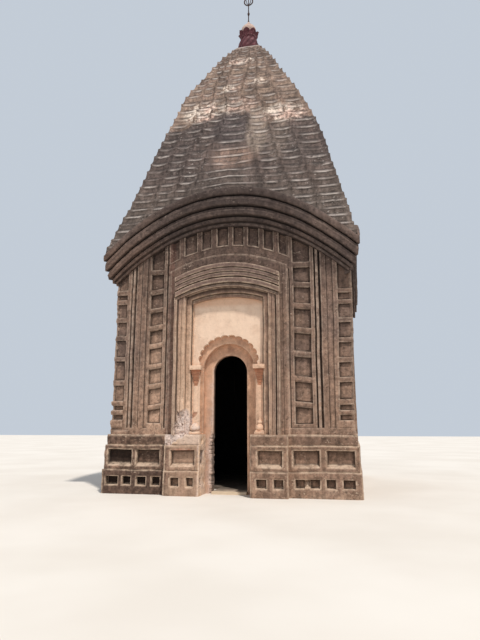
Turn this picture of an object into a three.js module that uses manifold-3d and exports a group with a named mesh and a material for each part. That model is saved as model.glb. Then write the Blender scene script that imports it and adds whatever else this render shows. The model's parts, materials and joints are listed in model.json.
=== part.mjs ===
import * as THREE from 'three';
import { mergeVertices, mergeGeometries } from 'three/addons/utils/BufferGeometryUtils.js';
import Module from 'manifold-3d';

// Bengal-style brick temple, plastered: a square cell on a panelled plinth, a
// curved (bangla) cornice, a stepped curvilinear tower in seven ribs per face
// and a metal finial.  Millimetres, +Z up, the door faces -Y, the origin is on
// the ground under the tower's axis.

// ---------------------------------------------------------------- dimensions
const G = 0.35;             // joint gap between neighbouring pieces

// plinth, half-widths and heights of its three tiers
const W1 = 2300, W2 = 2280, W3 = 2246;
const Z1 = 415, Z2 = 848, Z3 = 1036;
const CELL = 1250;          // inner half-width of the cell
const FLOOR_Z = 45;         // top of the floor slab
const BLOCK_IN = 445, BLOCK_OUT = 1090;     // door-side plinth blocks
const BLOCK_Y = [2430, 2412, 2382];         // their fronts, tier by tier
const MIDDLE_Y = [2320, 2300, 2266];        // the low middle projection of the other sides
const REC_D1 = 95, REC_D2 = 80;             // depth of the plinth recesses

// walls
const WALL = 2200;          // outer half-width of the wall face
const DOOR_W = 316;         // half-width of the doorway
const DOOR_SPRING = 2150;   // springing of the doorway's round head
const JAMB_Y = 1990;        // plane of the inner door ring
const RING_Y = 2080;        // plane of the outer door ring
const TYMP_Y = 2160;        // plane of the plain field over the door
const CUSP_W = 546, CUSP_SPRING = 2335, CUSP_RISE = 478, CUSPS = 12;

// curved cornice: z = ZC - H (x / 2400)^2
const CURVE_X = 2400;
const CORNICE = [
  // upper curve, lower curve (crown heights), rise and front plane
  { top: 5620, bot: 5500, ht: 1141, hb: 1141, y: 2440 },
  { top: 5500, bot: 5290, ht: 1141, hb: 1165, y: 2396 },
  { top: 5290, bot: 5080, ht: 1165, hb: 1180, y: 2344 },
  { top: 5080, bot: 4970, ht: 1180, hb: 1180, y: 2290 },
  { top: 4970, bot: 4880, ht: 1180, hb: 1180, y: 2242 },
];

// the curve of the other three sides is flatter; at the corners it meets the front's
const SIDE_DROP = 270;
const CORNICE_SIDE = CORNICE.map((c) => ({ ...c, top: c.top - SIDE_DROP, bot: c.bot - SIDE_DROP, ht: c.ht - SIDE_DROP, hb: c.hb - SIDE_DROP }));

// door bay: stepped frame under a curved hood
const BAY_Y = 2372;
const HOOD = [
  { zt: 4150, zb: 4056, x: 972, y: 2412 },
  { zt: 4056, zb: 3978, x: 960, y: 2392 },
  { zt: 3978, zb: 3884, x: 945, y: 2402 },
  { zt: 3884, zb: 3779, x: 932, y: BAY_Y },
];
const HOOD_RISE = 230, HOOD_X = 970;
const FRAME_STEPS = [
  { x: 868, z: 3779, y: 2336 },
  { x: 775, z: 3685, y: 2298 },
  { x: 672, z: 3520, y: TYMP_Y },
];
const HEAD_Z = 3300;        // joint between the frame's sides and its head
const BLIND_Y = 2262;       // the blind bays of the other sides stand out less

// panels of the wall
const COL_IN = 1200, COL_OUT = 1515, COL_D = 62;     // panel columns
const COL_BASE = 1212;
const LEDGES_L = [1541, 1925, 2316, 2695, 3040, 3391, 3727];
const LEDGES_R = [1540, 2011, 2438, 2872, 3333, 3727];
const LEDGE_H = 46;
const STRIP_IN = 1945, STRIP_D = 48;                  // corner strips
const STRIP_LEDGES = [1270, 1440, 1612, 1970, 2365, 2765, 3115, 3470, 3655];
const FRIEZE = [
  [-1131, -969, 4270, 4600], [-852, -631, 4410, 4745], [-533, -354, 4500, 4810],
  [-226, -20, 4520, 4822], [96, 271, 4515, 4818], [367, 558, 4480, 4775],
  [672, 822, 4405, 4700], [953, 1120, 4285, 4590],
];

// tower: top of each course and its half-width there
const COURSES = [
  [4610, 2400], [4775, 2352], [4965, 2298], [5120, 2256], [5285, 2208], [5450, 2158],
  [5650, 2100], [5830, 2054], [6010, 2004], [6190, 1958], [6400, 1902], [6585, 1853],
  [6780, 1808], [6980, 1756], [7185, 1694], [7400, 1629], [7620, 1555], [7830, 1478],
  [8045, 1409], [8275, 1332], [8510, 1257], [8735, 1157], [8930, 1063], [9120, 969],
  [9350, 866], [9550, 776], [9745, 678], [9940, 589], [10110, 489], [10250, 391],
];
const SPLIT_A = 6780, SPLIT_B = 8735;       // joints between the tower's stages
const TOWER_START = 4400;
const VAULT = [[4400, 1250], [6780, 960], [8735, 420]];     // hollow inside, closed by the solid crown

// finial
const NECK_Z = 10352, BULB_Z = 10760, BULB_R = 268;         // foot and top of the bulb
const ROD_R = 13, RING_R = 108, RING_Z = 11897, PRONG_TOP = 12165;

// ------------------------------------------------------------------- helpers
const wasm = await Module();
wasm.setup();

function solid(geometry) {
  let g = geometry.index ? geometry.toNonIndexed() : geometry.clone();
  for (const a of Object.keys(g.attributes)) if (a !== 'position') g.deleteAttribute(a);
  g = mergeVertices(g, 1e-3);
  const m = new wasm.Mesh({
    numProp: 3,
    vertProperties: new Float32Array(g.attributes.position.array),
    triVerts: new Uint32Array(g.index.array),
  });
  return new wasm.Manifold(m);
}

function geometryOf(manifold) {
  const m = manifold.getMesh();
  const np = m.numProp, n = m.vertProperties.length / np;
  const pos = new Float32Array(n * 3);
  for (let i = 0; i < n; i++) for (let k = 0; k < 3; k++) pos[3 * i + k] = m.vertProperties[np * i + k];
  const g = new THREE.BufferGeometry();
  g.setAttribute('position', new THREE.BufferAttribute(pos, 3));
  g.setIndex(new THREE.BufferAttribute(new Uint32Array(m.triVerts), 1));
  const flat = g.toNonIndexed();
  flat.computeVertexNormals();
  return flat;
}

const box = (x0, x1, y0, y1, z0, z1) =>
  solid(new THREE.BoxGeometry(x1 - x0, y1 - y0, z1 - z0).translate((x0 + x1) / 2, (y0 + y1) / 2, (z0 + z1) / 2));

// an outline in the facade plane (x, z) made thick from y0 to y1
function slab(points, y0, y1) {
  const s = new THREE.Shape(points.map(([x, z]) => new THREE.Vector2(x, z)));
  const g = new THREE.ExtrudeGeometry(s, { depth: y1 - y0, bevelEnabled: false, steps: 1 });
  g.rotateX(Math.PI / 2).translate(0, y1, 0);
  return solid(g);
}

// an outline in plan (x, y) raised from z0 to z1
function plan(points, z0, z1) {
  const s = new THREE.Shape(points.map(([x, y]) => new THREE.Vector2(x, y)));
  const g = new THREE.ExtrudeGeometry(s, { depth: z1 - z0, bevelEnabled: false, steps: 1 });
  g.translate(0, 0, z0);
  return solid(g);
}

// eight-cornered block: a rectangle at y = ya and a smaller one at y = yb
function splayed(x0, x1, z0, z1, ya, yb, sx0, sx1, sz0, sz1) {
  const g = new THREE.BoxGeometry(1, 1, 1);
  const p = g.attributes.position;
  for (let i = 0; i < p.count; i++) {
    const back = p.getY(i) > 0;
    const right = p.getX(i) > 0, up = p.getZ(i) > 0;
    const x = right ? x1 - (back ? sx1 : 0) : x0 + (back ? sx0 : 0);
    const z = up ? z1 - (back ? sz1 : 0) : z0 + (back ? sz0 : 0);
    p.setXYZ(i, x, back ? yb : ya, z);
  }
  return solid(g);
}

// square frustum standing on the axis, half-widths a below and b above
function frustum(z0, z1, a, b) {
  const g = new THREE.BoxGeometry(1, 1, 1);
  const p = g.attributes.position;
  for (let i = 0; i < p.count; i++) {
    const w = p.getZ(i) > 0 ? b : a;
    p.setXYZ(i, Math.sign(p.getX(i)) * w, Math.sign(p.getY(i)) * w, p.getZ(i) > 0 ? z1 : z0);
  }
  return solid(g);
}

const join = (list) => list.reduce((a, b) => a.add(b));
const cut = (a, list) => list.reduce((m, b) => m.subtract(b), a);

// one quarter of the plan: the side that faces -Y, mitred on the diagonals
const quarter = () => plan([[0, -G], [-5000, -5000 - G], [5000, -5000 - G]], -50, 13000);

// the curve is a polyline with its knots at fixed places, so that pieces that
// follow it meet exactly wherever they end
const KNOT = 400;
function bow(zc, h, x) {
  const k = Math.floor(x / KNOT), t = x / KNOT - k;
  const at = (i) => zc - h * ((i * KNOT) / CURVE_X) ** 2;
  return at(k) * (1 - t) + at(k + 1) * t;
}
function bowPoints(zc, h, xa, xb) {
  const xs = [xa];
  const lo = Math.min(xa, xb), hi = Math.max(xa, xb), inner = [];
  for (let i = Math.ceil((lo + 1) / KNOT); i * KNOT < hi - 1; i++) inner.push(i * KNOT);
  if (xb < xa) inner.reverse();
  xs.push(...inner, xb);
  return xs.map((x) => [x, bow(zc, h, x)]);
}
function archPoints(zc, rise, half, xa, xb, n = 8) {
  const out = [];
  for (let i = 0; i <= n; i++) { const x = xa + ((xb - xa) * i) / n; out.push([x, zc - rise * (x / half) ** 2]); }
  return out;
}

// ----------------------------------------------------------------- materials
const M = {
  base: new THREE.MeshStandardMaterial({ color: 0x8a6a56, roughness: 0.92, metalness: 0 }),
  wall: new THREE.MeshStandardMaterial({ color: 0x7f6456, roughness: 0.93, metalness: 0 }),
  warm: new THREE.MeshStandardMaterial({ color: 0xa87250, roughness: 0.9, metalness: 0 }),
  cream: new THREE.MeshStandardMaterial({ color: 0xe0c3a4, roughness: 0.88, metalness: 0 }),
  tower: new THREE.MeshStandardMaterial({ color: 0x6a5c52, roughness: 0.95, metalness: 0 }),
  floor: new THREE.MeshStandardMaterial({ color: 0xa89684, roughness: 0.9, metalness: 0 }),
  red: new THREE.MeshStandardMaterial({ color: 0x6b2b30, roughness: 0.6, metalness: 0 }),
  cap: new THREE.MeshStandardMaterial({ color: 0xd8c8b8, roughness: 0.8, metalness: 0 }),
  iron: new THREE.MeshStandardMaterial({ color: 0x2d2826, roughness: 0.7, metalness: 0.8 }),
};

const temple = new THREE.Group();
temple.name = 'temple';
function put(name, manifold, material, turn = 0) {
  const mesh = new THREE.Mesh(geometryOf(manifold), material.clone());
  mesh.name = name;
  mesh.rotation.z = (turn * Math.PI) / 2;
  temple.add(mesh);
  return mesh;
}

// -------------------------------------------------------------------- plinth
// recesses: [x0, x1, z0, z1]
const T1_Z = [156, 302], T2_Z = [494, 770];
const WING_L1 = [[-2228, -1992], [-1901, -1742], [-1634, -1459], [-1352, -1199]];
const WING_L2 = [[-2215, -1746], [-1663, -1217]];
const WING_R1 = [[1199, 1357], [1443, 1603], [1706, 1864], [1982, 2185]];
const WING_R2 = [[1160, 1612], [1720, 2199]];
const BLK_L1 = [[-966, -807], [-678, -549]];
const BLK_L2 = [[-979, -530]];
const BLK_R1 = [[546, 726], [845, 1010]];
const BLK_R2 = [[565, 998]];
const PLAIN1 = [[-980, -810], [-640, -470], [-300, -130], [130, 300], [470, 640], [810, 980]];
const PLAIN2 = [[-985, -555], [-430, -60], [60, 430], [555, 985]];

const recess1 = (r, y) => splayed(r[0], r[1], T1_Z[0], T1_Z[1], -y - 20, -y + REC_D1, 14, 14, 10, 6);
const recess2 = (r, y) => splayed(r[0], r[1], T2_Z[0], T2_Z[1], -y - 20, -y + REC_D2, 34, 16, 46, 10);

function tiers(x0, x1, front, yBack) {
  return join([
    box(x0[0], x1[0], -front[0], -yBack, 0, Z1),
    box(x0[1], x1[1], -front[1], -yBack, Z1 - 5, Z2),
    box(x0[2], x1[2], -front[2], -yBack, Z2 - 5, Z3),
  ]);
}
const same = (v) => [v, v, v];

function wing(side, r1, r2) {
  // side -1: left of the door, +1: right of it
  let m = side < 0
    ? tiers([-W1, -W2, -W3], same(-BLOCK_OUT - G), [W1, W2, W3], CELL)
    : tiers(same(BLOCK_OUT + G), [W1, W2, W3], [W1, W2, W3], CELL);
  m = cut(m, [...r1.map((r) => recess1(r, W1)), ...r2.map((r) => recess2(r, W2))]);
  return m.intersect(quarter());
}
put('plinth_wing_left', wing(-1, WING_L1, WING_L2), M.base);
// the web between the first two small recesses of the right wing has fallen away
const brokenWeb = splayed(1340, 1460, 178, 296, -W1 - 20, -W1 + 62, 6, 10, 4, 10);
put('plinth_wing_right', wing(1, WING_R1, WING_R2).subtract(brokenWeb), M.base);

function doorBlock(side, r1, r2) {
  const a = side < 0 ? same(-BLOCK_OUT) : same(BLOCK_IN);
  const b = side < 0 ? same(-BLOCK_IN) : same(BLOCK_OUT);
  let m = tiers(a, b, BLOCK_Y, CELL + G);
  // the jamb behind the block
  m = m.add(side < 0 ? box(-BLOCK_IN - 5, -DOOR_W, -JAMB_Y, -CELL - G, 0, Z3) : box(DOOR_W, BLOCK_IN + 5, -JAMB_Y, -CELL - G, 0, Z3));
  m = cut(m, [...r1.map((r) => recess1(r, BLOCK_Y[0])), ...r2.map((r) => recess2(r, BLOCK_Y[1]))]);
  return m;
}
// small recesses in the door side of the left block
function sideRecess(xFace, y0, y1, z0, z1, d) {
  return box(xFace - d, xFace + 20, y0, y1, z0, z1);
}
let blockL = doorBlock(-1, BLK_L1, BLK_L2);
blockL = cut(blockL, [
  sideRecess(-BLOCK_IN, -2350, -2230, 165, 300, 70),
  sideRecess(-BLOCK_IN, -2330, -2110, 505, 765, 45),
]);
// the arris of the left jamb is broken away in bites
const BITES = [[40, 150, 46, 60], [170, 120, 30, 42], [300, 190, 62, 78], [500, 110, 34, 46], [640, 170, 52, 62], [820, 130, 36, 50]];
for (const [z, h, dx, dy] of BITES) {
  const g = new THREE.BoxGeometry(dx * 1.42, dy * 1.42, h).rotateZ(Math.PI / 4).rotateY(0.12).translate(-DOOR_W, -JAMB_Y, z + h / 2);
  blockL = blockL.subtract(solid(g));
}
put('plinth_block_left', blockL, M.base);
let blockR = doorBlock(1, BLK_R1, BLK_R2);
put('plinth_block_right', blockR, M.base);

function plainPlinth() {
  let m = tiers([-W1, -W2, -W3], [W1, W2, W3], [W1, W2, W3], CELL);
  m = m.add(tiers(same(-BLOCK_OUT), same(BLOCK_OUT), MIDDLE_Y, CELL));
  m = cut(m, [
    ...WING_L1.map((r) => recess1(r, W1)), ...WING_R1.map((r) => recess1(r, W1)),
    ...WING_L2.map((r) => recess2(r, W2)), ...WING_R2.map((r) => recess2(r, W2)),
    ...PLAIN1.map((r) => recess1(r, MIDDLE_Y[0])), ...PLAIN2.map((r) => recess2(r, MIDDLE_Y[1])),
  ]);
  return m.intersect(quarter());
}
put('plinth_right', plainPlinth(), M.base, 1);
put('plinth_back', plainPlinth(), M.base, 2);
put('plinth_left', plainPlinth(), M.base, 3);

// floor of the cell, running out through the doorway
put('floor_slab', join([
  box(-CELL + G, CELL - G, -CELL + G, CELL - G, 0, FLOOR_Z),
  box(-DOOR_W + G, DOOR_W - G, -2060, -CELL + 10, 0, FLOOR_Z),
]), M.floor);

// --------------------------------------------------------------------- walls
const WALL_Z0 = Z3 + G;
let curve = CORNICE;         // the curve that the pieces being shaped follow
const dropAt = (x) => curve[0] === CORNICE[0] ? 0 : SIDE_DROP * (1 - (x / CURVE_X) ** 2);

// outline under the cornice's crown curve
function wallOutline(x0, x1, zLow, dz = 0) {
  return [[x0, zLow], [x1, zLow], ...bowPoints(curve[0].top + dz, curve[0].ht, x1, x0)];
}

// one panel column as a cutter: sunk field under the cornice's lowest moulding
function columnCut(side) {
  const a = side < 0 ? -COL_OUT : COL_IN, b = side < 0 ? -COL_IN : COL_OUT;
  const pts = [[a, COL_BASE], [b, COL_BASE], ...bowPoints(curve[4].bot - 60, curve[4].hb, b, a)];
  return slab(pts, -WALL - 30, -WALL + COL_D);
}
function ledges(side, levels) {
  // the ledges drop outwards
  const a = side < 0 ? -COL_OUT - 4 : COL_IN - 4, b = side < 0 ? -COL_IN + 4 : COL_OUT + 4;
  const drop = side < 0 ? 34 : 26;
  return levels.map((z) => {
    const zl = side < 0 ? z - drop / 2 : z + drop / 2, zr = side < 0 ? z + drop / 2 : z - drop / 2;
    return slab([[a, zl - LEDGE_H / 2], [b, zr - LEDGE_H / 2], [b, zr + LEDGE_H / 2], [a, zl + LEDGE_H / 2]], -WALL - 12, -WALL + COL_D + 6);
  });
}
// nested L-shaped fillets beside and under a panel column
function fillets(side) {
  const out = [];
  for (const [x, z] of [[1562, 1170], [1632, 1112]]) {
    const w = 30, t = 16;
    const top = bow(curve[4].bot, curve[4].hb, x) + 20;
    const a = side < 0 ? -x - w : x, b = side < 0 ? -x : x + w;
    out.push(box(a, b, -WALL - t, -WALL + 5, z, top));
    out.push(side < 0 ? box(-x - w, -1150, -WALL - t, -WALL + 5, z, z + w) : box(1150, x + w, -WALL - t, -WALL + 5, z, z + w));
  }
  return out;
}
// the strip at a corner: sunk, crossed by ledges
function stripCut(side) {
  const a = side < 0 ? -WALL - 60 : STRIP_IN, b = side < 0 ? -STRIP_IN : WALL + 60;
  return box(a, b, -WALL - 60, -WALL + STRIP_D, 1180, bow(curve[4].bot, curve[4].hb, 2090) - 40);
}
function friezeCuts() {
  return FRIEZE.map(([x0, x1, z0, z1]) => splayed(x0, x1, z0 - dropAt((x0 + x1) / 2), z1 - dropAt((x0 + x1) / 2), -WALL - 20, -WALL + 46, 10, 10, 12, 8));
}
function friezeFrames() {
  return FRIEZE.map(([x0, x1, z0, z1]) => box(x0 - 22, x1 + 22, -WALL - 10, -WALL + 8, z0 - 22 - dropAt((x0 + x1) / 2), z1 + 14 - dropAt((x0 + x1) / 2)));
}
function friezeFillet(n = 10) {
  const up = archPoints(4402, 310, 1130, -1150, 1150, n), lo = archPoints(4370, 310, 1130, 1150, -1150, n);
  return slab([...lo, ...up], -WALL - 20, -WALL + 8);
}

// corner strips are cut from both of their faces, so the walls are shaped
// whole on the front-facing side before they are mitred
function wallBody(x0, x1) {
  return slab(wallOutline(x0, x1, WALL_Z0), -WALL, -CELL);
}
function decorate(m, parts, levelsL, levelsR) {
  let out = m;
  if (parts.includes('L')) {
    out = cut(out, [columnCut(-1), stripCut(-1)]);
    out = join([out, ...ledges(-1, levelsL), ...fillets(-1)]);
  }
  if (parts.includes('R')) {
    out = cut(out, [columnCut(1), stripCut(1)]);
    out = join([out, ...ledges(1, levelsR), ...fillets(1)]);
  }
  return out;
}
function stripLedges(side) {
  return STRIP_LEDGES.map((z, i) => {
    const h = i < 2 ? 66 : 44, p = i < 2 ? 34 : 12;
    const a = side < 0 ? -WALL - 40 : STRIP_IN - 4, b = side < 0 ? -STRIP_IN + 4 : WALL + 40;
    return box(a, b, -WALL - p, -WALL + STRIP_D + 6, z - h / 2, z + h / 2);
  });
}
function cornerTrim(side) {
  // what the mitre leaves of a corner strip's side face
  const a = side < 0 ? -WALL - 300 : WALL - STRIP_D, b = side < 0 ? -WALL + STRIP_D : WALL + 300;
  return box(a, b, -WALL - 60, 0, 1180, bow(curve[4].bot, curve[4].hb, 2090) - 40);
}

// room for the cornice in front of the wall face
const underCornice = () => slab([[2600, 9000], [-2600, 9000], ...bowPoints(curve[4].bot - G, curve[4].hb, -2600, 2600)], -4000, -WALL);

function wallQuarter(x0, x1, parts) {
  let m = decorate(wallBody(x0, x1), parts, LEDGES_L, LEDGES_R);
  const add = [];
  if (parts.includes('L')) { m = m.subtract(cornerTrim(-1)); add.push(...stripLedges(-1)); }
  if (parts.includes('R')) { m = m.subtract(cornerTrim(1)); add.push(...stripLedges(1)); }
  m = join([m, ...add]).subtract(underCornice());
  return m.intersect(quarter());
}

const SPLIT_X = 990;         // joint between the front wall's flanks and its middle
put('wall_front_left', wallQuarter(-WALL, -SPLIT_X - G, 'L'), M.wall);
put('wall_front_right', wallQuarter(SPLIT_X + G, WALL, 'R'), M.wall);

// middle of the front wall: jambs beside the door and the wall over it
function cuspOutline() {
  const pts = [[-CUSP_W, WALL_Z0 - 10]];
  const n = CUSPS;
  for (let i = 0; i < n; i++) {
    // small scallops, each a shallow bite outwards
    for (let k = 0; k < 3; k++) {
      const t = (i + k / 3) / n, a = Math.PI * (1 - t);
      const r = 1 + (k === 0 ? -0.035 : 0.022);
      pts.push([CUSP_W * r * Math.cos(a), CUSP_SPRING + CUSP_RISE * r * Math.sin(a)]);
    }
  }
  pts.push([CUSP_W * 0.965, CUSP_SPRING]);
  pts.push([CUSP_W, CUSP_SPRING - 30], [CUSP_W, WALL_Z0 - 10]);
  return pts;
}
function roundOutline(half, spring, z0, n = 14) {
  const pts = [[-half, z0]];
  for (let i = 0; i <= n; i++) { const a = Math.PI * (1 - i / n); pts.push([half * Math.cos(a), spring + half * Math.sin(a)]); }
  pts.push([half, z0]);
  return pts;
}
function frontMiddle() {
  let m = wallBody(-SPLIT_X, SPLIT_X);
  // plain field over the door, sunk a little
  m = m.subtract(slab([[-672, WALL_Z0 - 10], [672, WALL_Z0 - 10], ...archPoints(3520, 110, 672, 672, -672, 8)], -WALL - 20, -TYMP_Y));
  m = m.subtract(slab(cuspOutline(), -TYMP_Y - 20, -RING_Y));
  m = m.subtract(slab(roundOutline(BLOCK_IN, 2190, WALL_Z0 - 10), -RING_Y - 20, -JAMB_Y));
  m = m.subtract(slab(roundOutline(DOOR_W, DOOR_SPRING, WALL_Z0 - 10), -JAMB_Y - 20, -CELL + 20));
  m = join([m, ...friezeFrames().map((f) => f.intersect(box(-SPLIT_X, SPLIT_X, -3000, 0, 0, 9000)))]);
  m = m.add(friezeFillet().intersect(box(-SPLIT_X, SPLIT_X, -3000, 0, 0, 9000)));
  return cut(m, friezeCuts()).subtract(underCornice());
}
const middle = frontMiddle();
const JOINT_Z = 2100;
put('jamb_left', middle.intersect(box(-SPLIT_X, 0, -3000, 0, 0, JOINT_Z)), M.warm);
put('jamb_right', middle.intersect(box(0, SPLIT_X, -3000, 0, 0, JOINT_Z)), M.warm);
put('wall_front_head', middle.intersect(box(-SPLIT_X, SPLIT_X, -3000, 0, JOINT_Z + G, 9000)), M.cream);

// the other three walls: blind middle, plainly repeated
function plainWall() {
  let m = decorate(wallBody(-WALL, WALL), 'LR', LEDGES_L, LEDGES_R);
  m = m.subtract(cornerTrim(-1)).subtract(cornerTrim(1));
  m = join([m, ...stripLedges(-1), ...stripLedges(1)]);
  m = cut(m, friezeCuts()).subtract(underCornice());
  return m.intersect(quarter());
}
curve = CORNICE_SIDE;
put('wall_right', plainWall(), M.wall, 1);
put('wall_back', plainWall(), M.wall, 2);
put('wall_left', plainWall(), M.wall, 3);
curve = CORNICE;

// ------------------------------------------------------------------ door bay
function bayFull() {
  // the projecting frame, stepped inwards, under the hood's lowest moulding
  const out = [[-932, WALL_Z0], [932, WALL_Z0], ...archPoints(3884, HOOD_RISE, HOOD_X, 932, -932)];
  let m = slab(out, -BAY_Y, -WALL - G);
  let y = BAY_Y + 30;
  for (const s of FRAME_STEPS) {
    const pts = [[-s.x, WALL_Z0 - 10], [s.x, WALL_Z0 - 10], ...archPoints(s.z, 150, HOOD_X, s.x, -s.x)];
    m = m.subtract(slab(pts, -y, s.y === TYMP_Y ? -WALL + 20 : -s.y));
    y = s.y + 20;
  }
  return m;
}
const bay = bayFull();
// plaster lost at the foot of the left side of the frame
const LOST = [[-905, 1030], [-905, 1090], [-880, 1150], [-893, 1230], [-850, 1330], [-790, 1420], [-745, 1400], [-700, 1450], [-640, 1470], [-640, 1030]];
const lostPlaster = slab(LOST, -BAY_Y - 20, -BAY_Y + 52);
put('door_frame_left', bay.intersect(box(-1100, 0, -3000, 0, 0, HEAD_Z)).subtract(lostPlaster), M.wall);
put('door_frame_right', bay.intersect(box(0, 1100, -3000, 0, 0, HEAD_Z)), M.wall);
function hood(yIn) {
  const list = HOOD.slice(0, 3).map((h, i) => slab([
    ...archPoints(h.zb - (i < 2 ? 6 : 0), HOOD_RISE, HOOD_X, -h.x, h.x), ...archPoints(h.zt, HOOD_RISE, HOOD_X, h.x, -h.x),
  ], -h.y, -yIn));
  return join(list);
}
put('door_frame_head', bay.intersect(box(-1100, 1100, -3000, 0, HEAD_Z + G, 9000)).add(hood(WALL + G).subtract(slab([[-1100, 0], [1100, 0], ...archPoints(3878, HOOD_RISE, HOOD_X, 1100, -1100)], -3000, 0))), M.wall);

// blind bays of the other three sides: the same hood and frame round a plain field
function blindBay() {
  const arc = (zc, x, n = 6) => archPoints(zc, HOOD_RISE, HOOD_X, x, -x, n);
  let m = slab([[-932, WALL_Z0], [932, WALL_Z0], ...arc(3890, 932)], -BLIND_Y, -WALL - G);
  m = m.subtract(slab([[-800, WALL_Z0 - 10], [800, WALL_Z0 - 10], ...arc(3740, 800)], -BLIND_Y - 20, -2246));
  m = m.subtract(slab([[-680, WALL_Z0 - 10], [680, WALL_Z0 - 10], ...arc(3560, 680)], -BLIND_Y - 20, -2226));
  m = m.add(slab([...arc(3884, 950).reverse(), ...arc(3996, 950)], -2268, -WALL - G));
  return m.add(slab([...arc(3990, 972).reverse(), ...arc(4100, 972)], -2276, -WALL - G));
}
put('blind_bay_right', blindBay(), M.wall, 1);
put('blind_bay_back', blindBay(), M.wall, 2);
put('blind_bay_left', blindBay(), M.wall, 3);

// colonnettes beside the door: base plate, pot, shaft, stepped capital, abacus
function colonnette(side) {
  const c = side * 578;
  const list = [];
  const yb = -TYMP_Y - G;
  const step = (half, proud, z0, z1) => list.push(box(c - half, c + half, yb - proud, yb, z0, z1));
  step(92, 150, WALL_Z0, 1112);
  step(70, 60, 1105, 2300);
  const prof = [[0, 1100], [66, 1100], [84, 1160], [76, 1200], [44, 1238], [46, 1275], [38, 1290], [38, 1880], [0, 1880]];
  const lathe = new THREE.LatheGeometry(prof.map(([r, z]) => new THREE.Vector2(Math.max(r, 0), z)), 8);
  lathe.rotateX(Math.PI / 2).translate(c, yb - 66, 0);
  list.push(solid(lathe).intersect(box(c - 300, c + 300, -3000, yb, 0, 9000)));
  const caps = [[34, 70, 1872, 1925], [46, 84, 1920, 1990], [60, 98, 1985, 2060], [74, 112, 2055, 2135], [90, 126, 2130, 2232], [112, 148, 2226, 2292]];
  for (const [h, p, z0, z1] of caps) step(h, p, z0, z1);
  return join(list).intersect(box(side < 0 ? -671.6 : CUSP_W * 0.86, side < 0 ? -CUSP_W * 0.86 : 671.6, -3000, 0, 0, 9000));
}
put('colonnette_left', colonnette(-1), M.warm);
put('colonnette_right', colonnette(1), M.warm);

// ------------------------------------------------------------ curved cornice
function corniceQuarter() {
  const list = curve.map((c, i) => {
    const lift = i === 0 ? 0 : 6;
    const x = 2500;
    return slab([...bowPoints(c.bot, c.hb, -x, x), ...bowPoints(c.top + lift, c.ht, x, -x)], -c.y, -WALL - G);
  });
  return join(list).intersect(quarter());
}
put('cornice_front', corniceQuarter(), M.wall);
curve = CORNICE_SIDE;
put('cornice_right', corniceQuarter(), M.wall, 1);
put('cornice_back', corniceQuarter(), M.wall, 2);
put('cornice_left', corniceQuarter(), M.wall, 3);
curve = CORNICE;

// --------------------------------------------------------------------- tower
function ribFractions(z) {
  const t = THREE.MathUtils.clamp((z - 5500) / 2400, 0, 1);
  return [0.345 - 0.215 * t, 0.565 - 0.165 * t, 0.775 - 0.105 * t];
}
function coursePlan(w, z, ribs = 3) {
  const fade = THREE.MathUtils.clamp((9400 - z) / 1800, 0.25, 1);
  const [f1, f2, f3] = ribFractions(z);
  const d = [0, 16, 34, 54].map((v) => v * fade);
  const right = [[w, d[0]], [w * f3, d[0]], [w * f3, d[1]], [w * f2, d[1]], [w * f2, d[2]], [w * f1, d[2]], [w * f1, d[3]]];
  if (ribs < 3) right.splice(1, 4, [w * f2, d[0]], [w * f2, d[1]]), (right[3][1] = d[1]);
  const left = right.map(([x, o]) => [-x, o]);
  return [[0, -1], ...[...left, ...right.reverse()].map(([x, o]) => [x, -w - o])];
}
// right corner to apex: the plan is a fan from the axis, opened again by the vault
function stage(z0, z1) {
  const list = [];
  let below = TOWER_START;
  for (const [top, w] of COURSES) {
    if (top > z0 + 1 && top <= z1 + 1) {
      const lo = Math.max(below - 5, z0 + (z0 > TOWER_START ? G : 0));
      list.push(plan(coursePlan(w, (below + top) / 2, z0 > TOWER_START && top > 7900 ? 2 : 3), lo, top));
    }
    below = top;
  }
  let m = join(list);
  for (let i = 0; i + 1 < VAULT.length; i++) {
    const [za, a] = VAULT[i], [zb, b] = VAULT[i + 1];
    if (zb > z0 && za < z1) m = m.subtract(frustum(za - 0.5, zb + 0.5, a, b));
  }
  return m.intersect(quarter());
}
function lowerStage() {
  const under = slab([[-3000, 0], [3000, 0], ...bowPoints(curve[0].top + G, curve[0].ht, 3000, -3000)], -4000, -900);
  return stage(TOWER_START, SPLIT_A).subtract(under);
}
const sides = ['front', 'right', 'back', 'left'];
sides.forEach((s, k) => { curve = k ? CORNICE_SIDE : CORNICE; put('tower_lower_' + s, lowerStage(), M.tower, k); });
sides.forEach((s, k) => put('tower_middle_' + s, stage(SPLIT_A, SPLIT_B), M.tower, k));

function crown() {
  const list = [];
  let below = TOWER_START;
  for (const [top, w] of COURSES) {
    if (top > SPLIT_B + 1) {
      const q = coursePlan(w, (below + top) / 2, 2).slice(1);
      const ring = [];
      for (let k = 0; k < 4; k++) {
        const c = Math.round(Math.cos((k * Math.PI) / 2)), s = Math.round(Math.sin((k * Math.PI) / 2));
        for (const [x, y] of q.slice(0, -1)) ring.push([c * x - s * y, s * x + c * y]);
      }
      list.push(plan(ring, Math.max(below - 5, SPLIT_B + G), top));
    }
    below = top;
  }
  return join(list);
}
put('tower_crown', crown(), M.tower);
const TOP_Z = COURSES[COURSES.length - 1][0];
put('tower_cap_slab', join([
  box(-330, 330, -330, 330, TOP_Z + G, TOP_Z + 55),
  box(-298, 298, -298, 298, TOP_Z + 50, NECK_Z),
]), M.tower);

// -------------------------------------------------------------------- finial
function turned(profile, seg = 24) {
  return new THREE.LatheGeometry(profile.map(([r, z]) => new THREE.Vector2(r, z)), seg).rotateX(Math.PI / 2);
}
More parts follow.
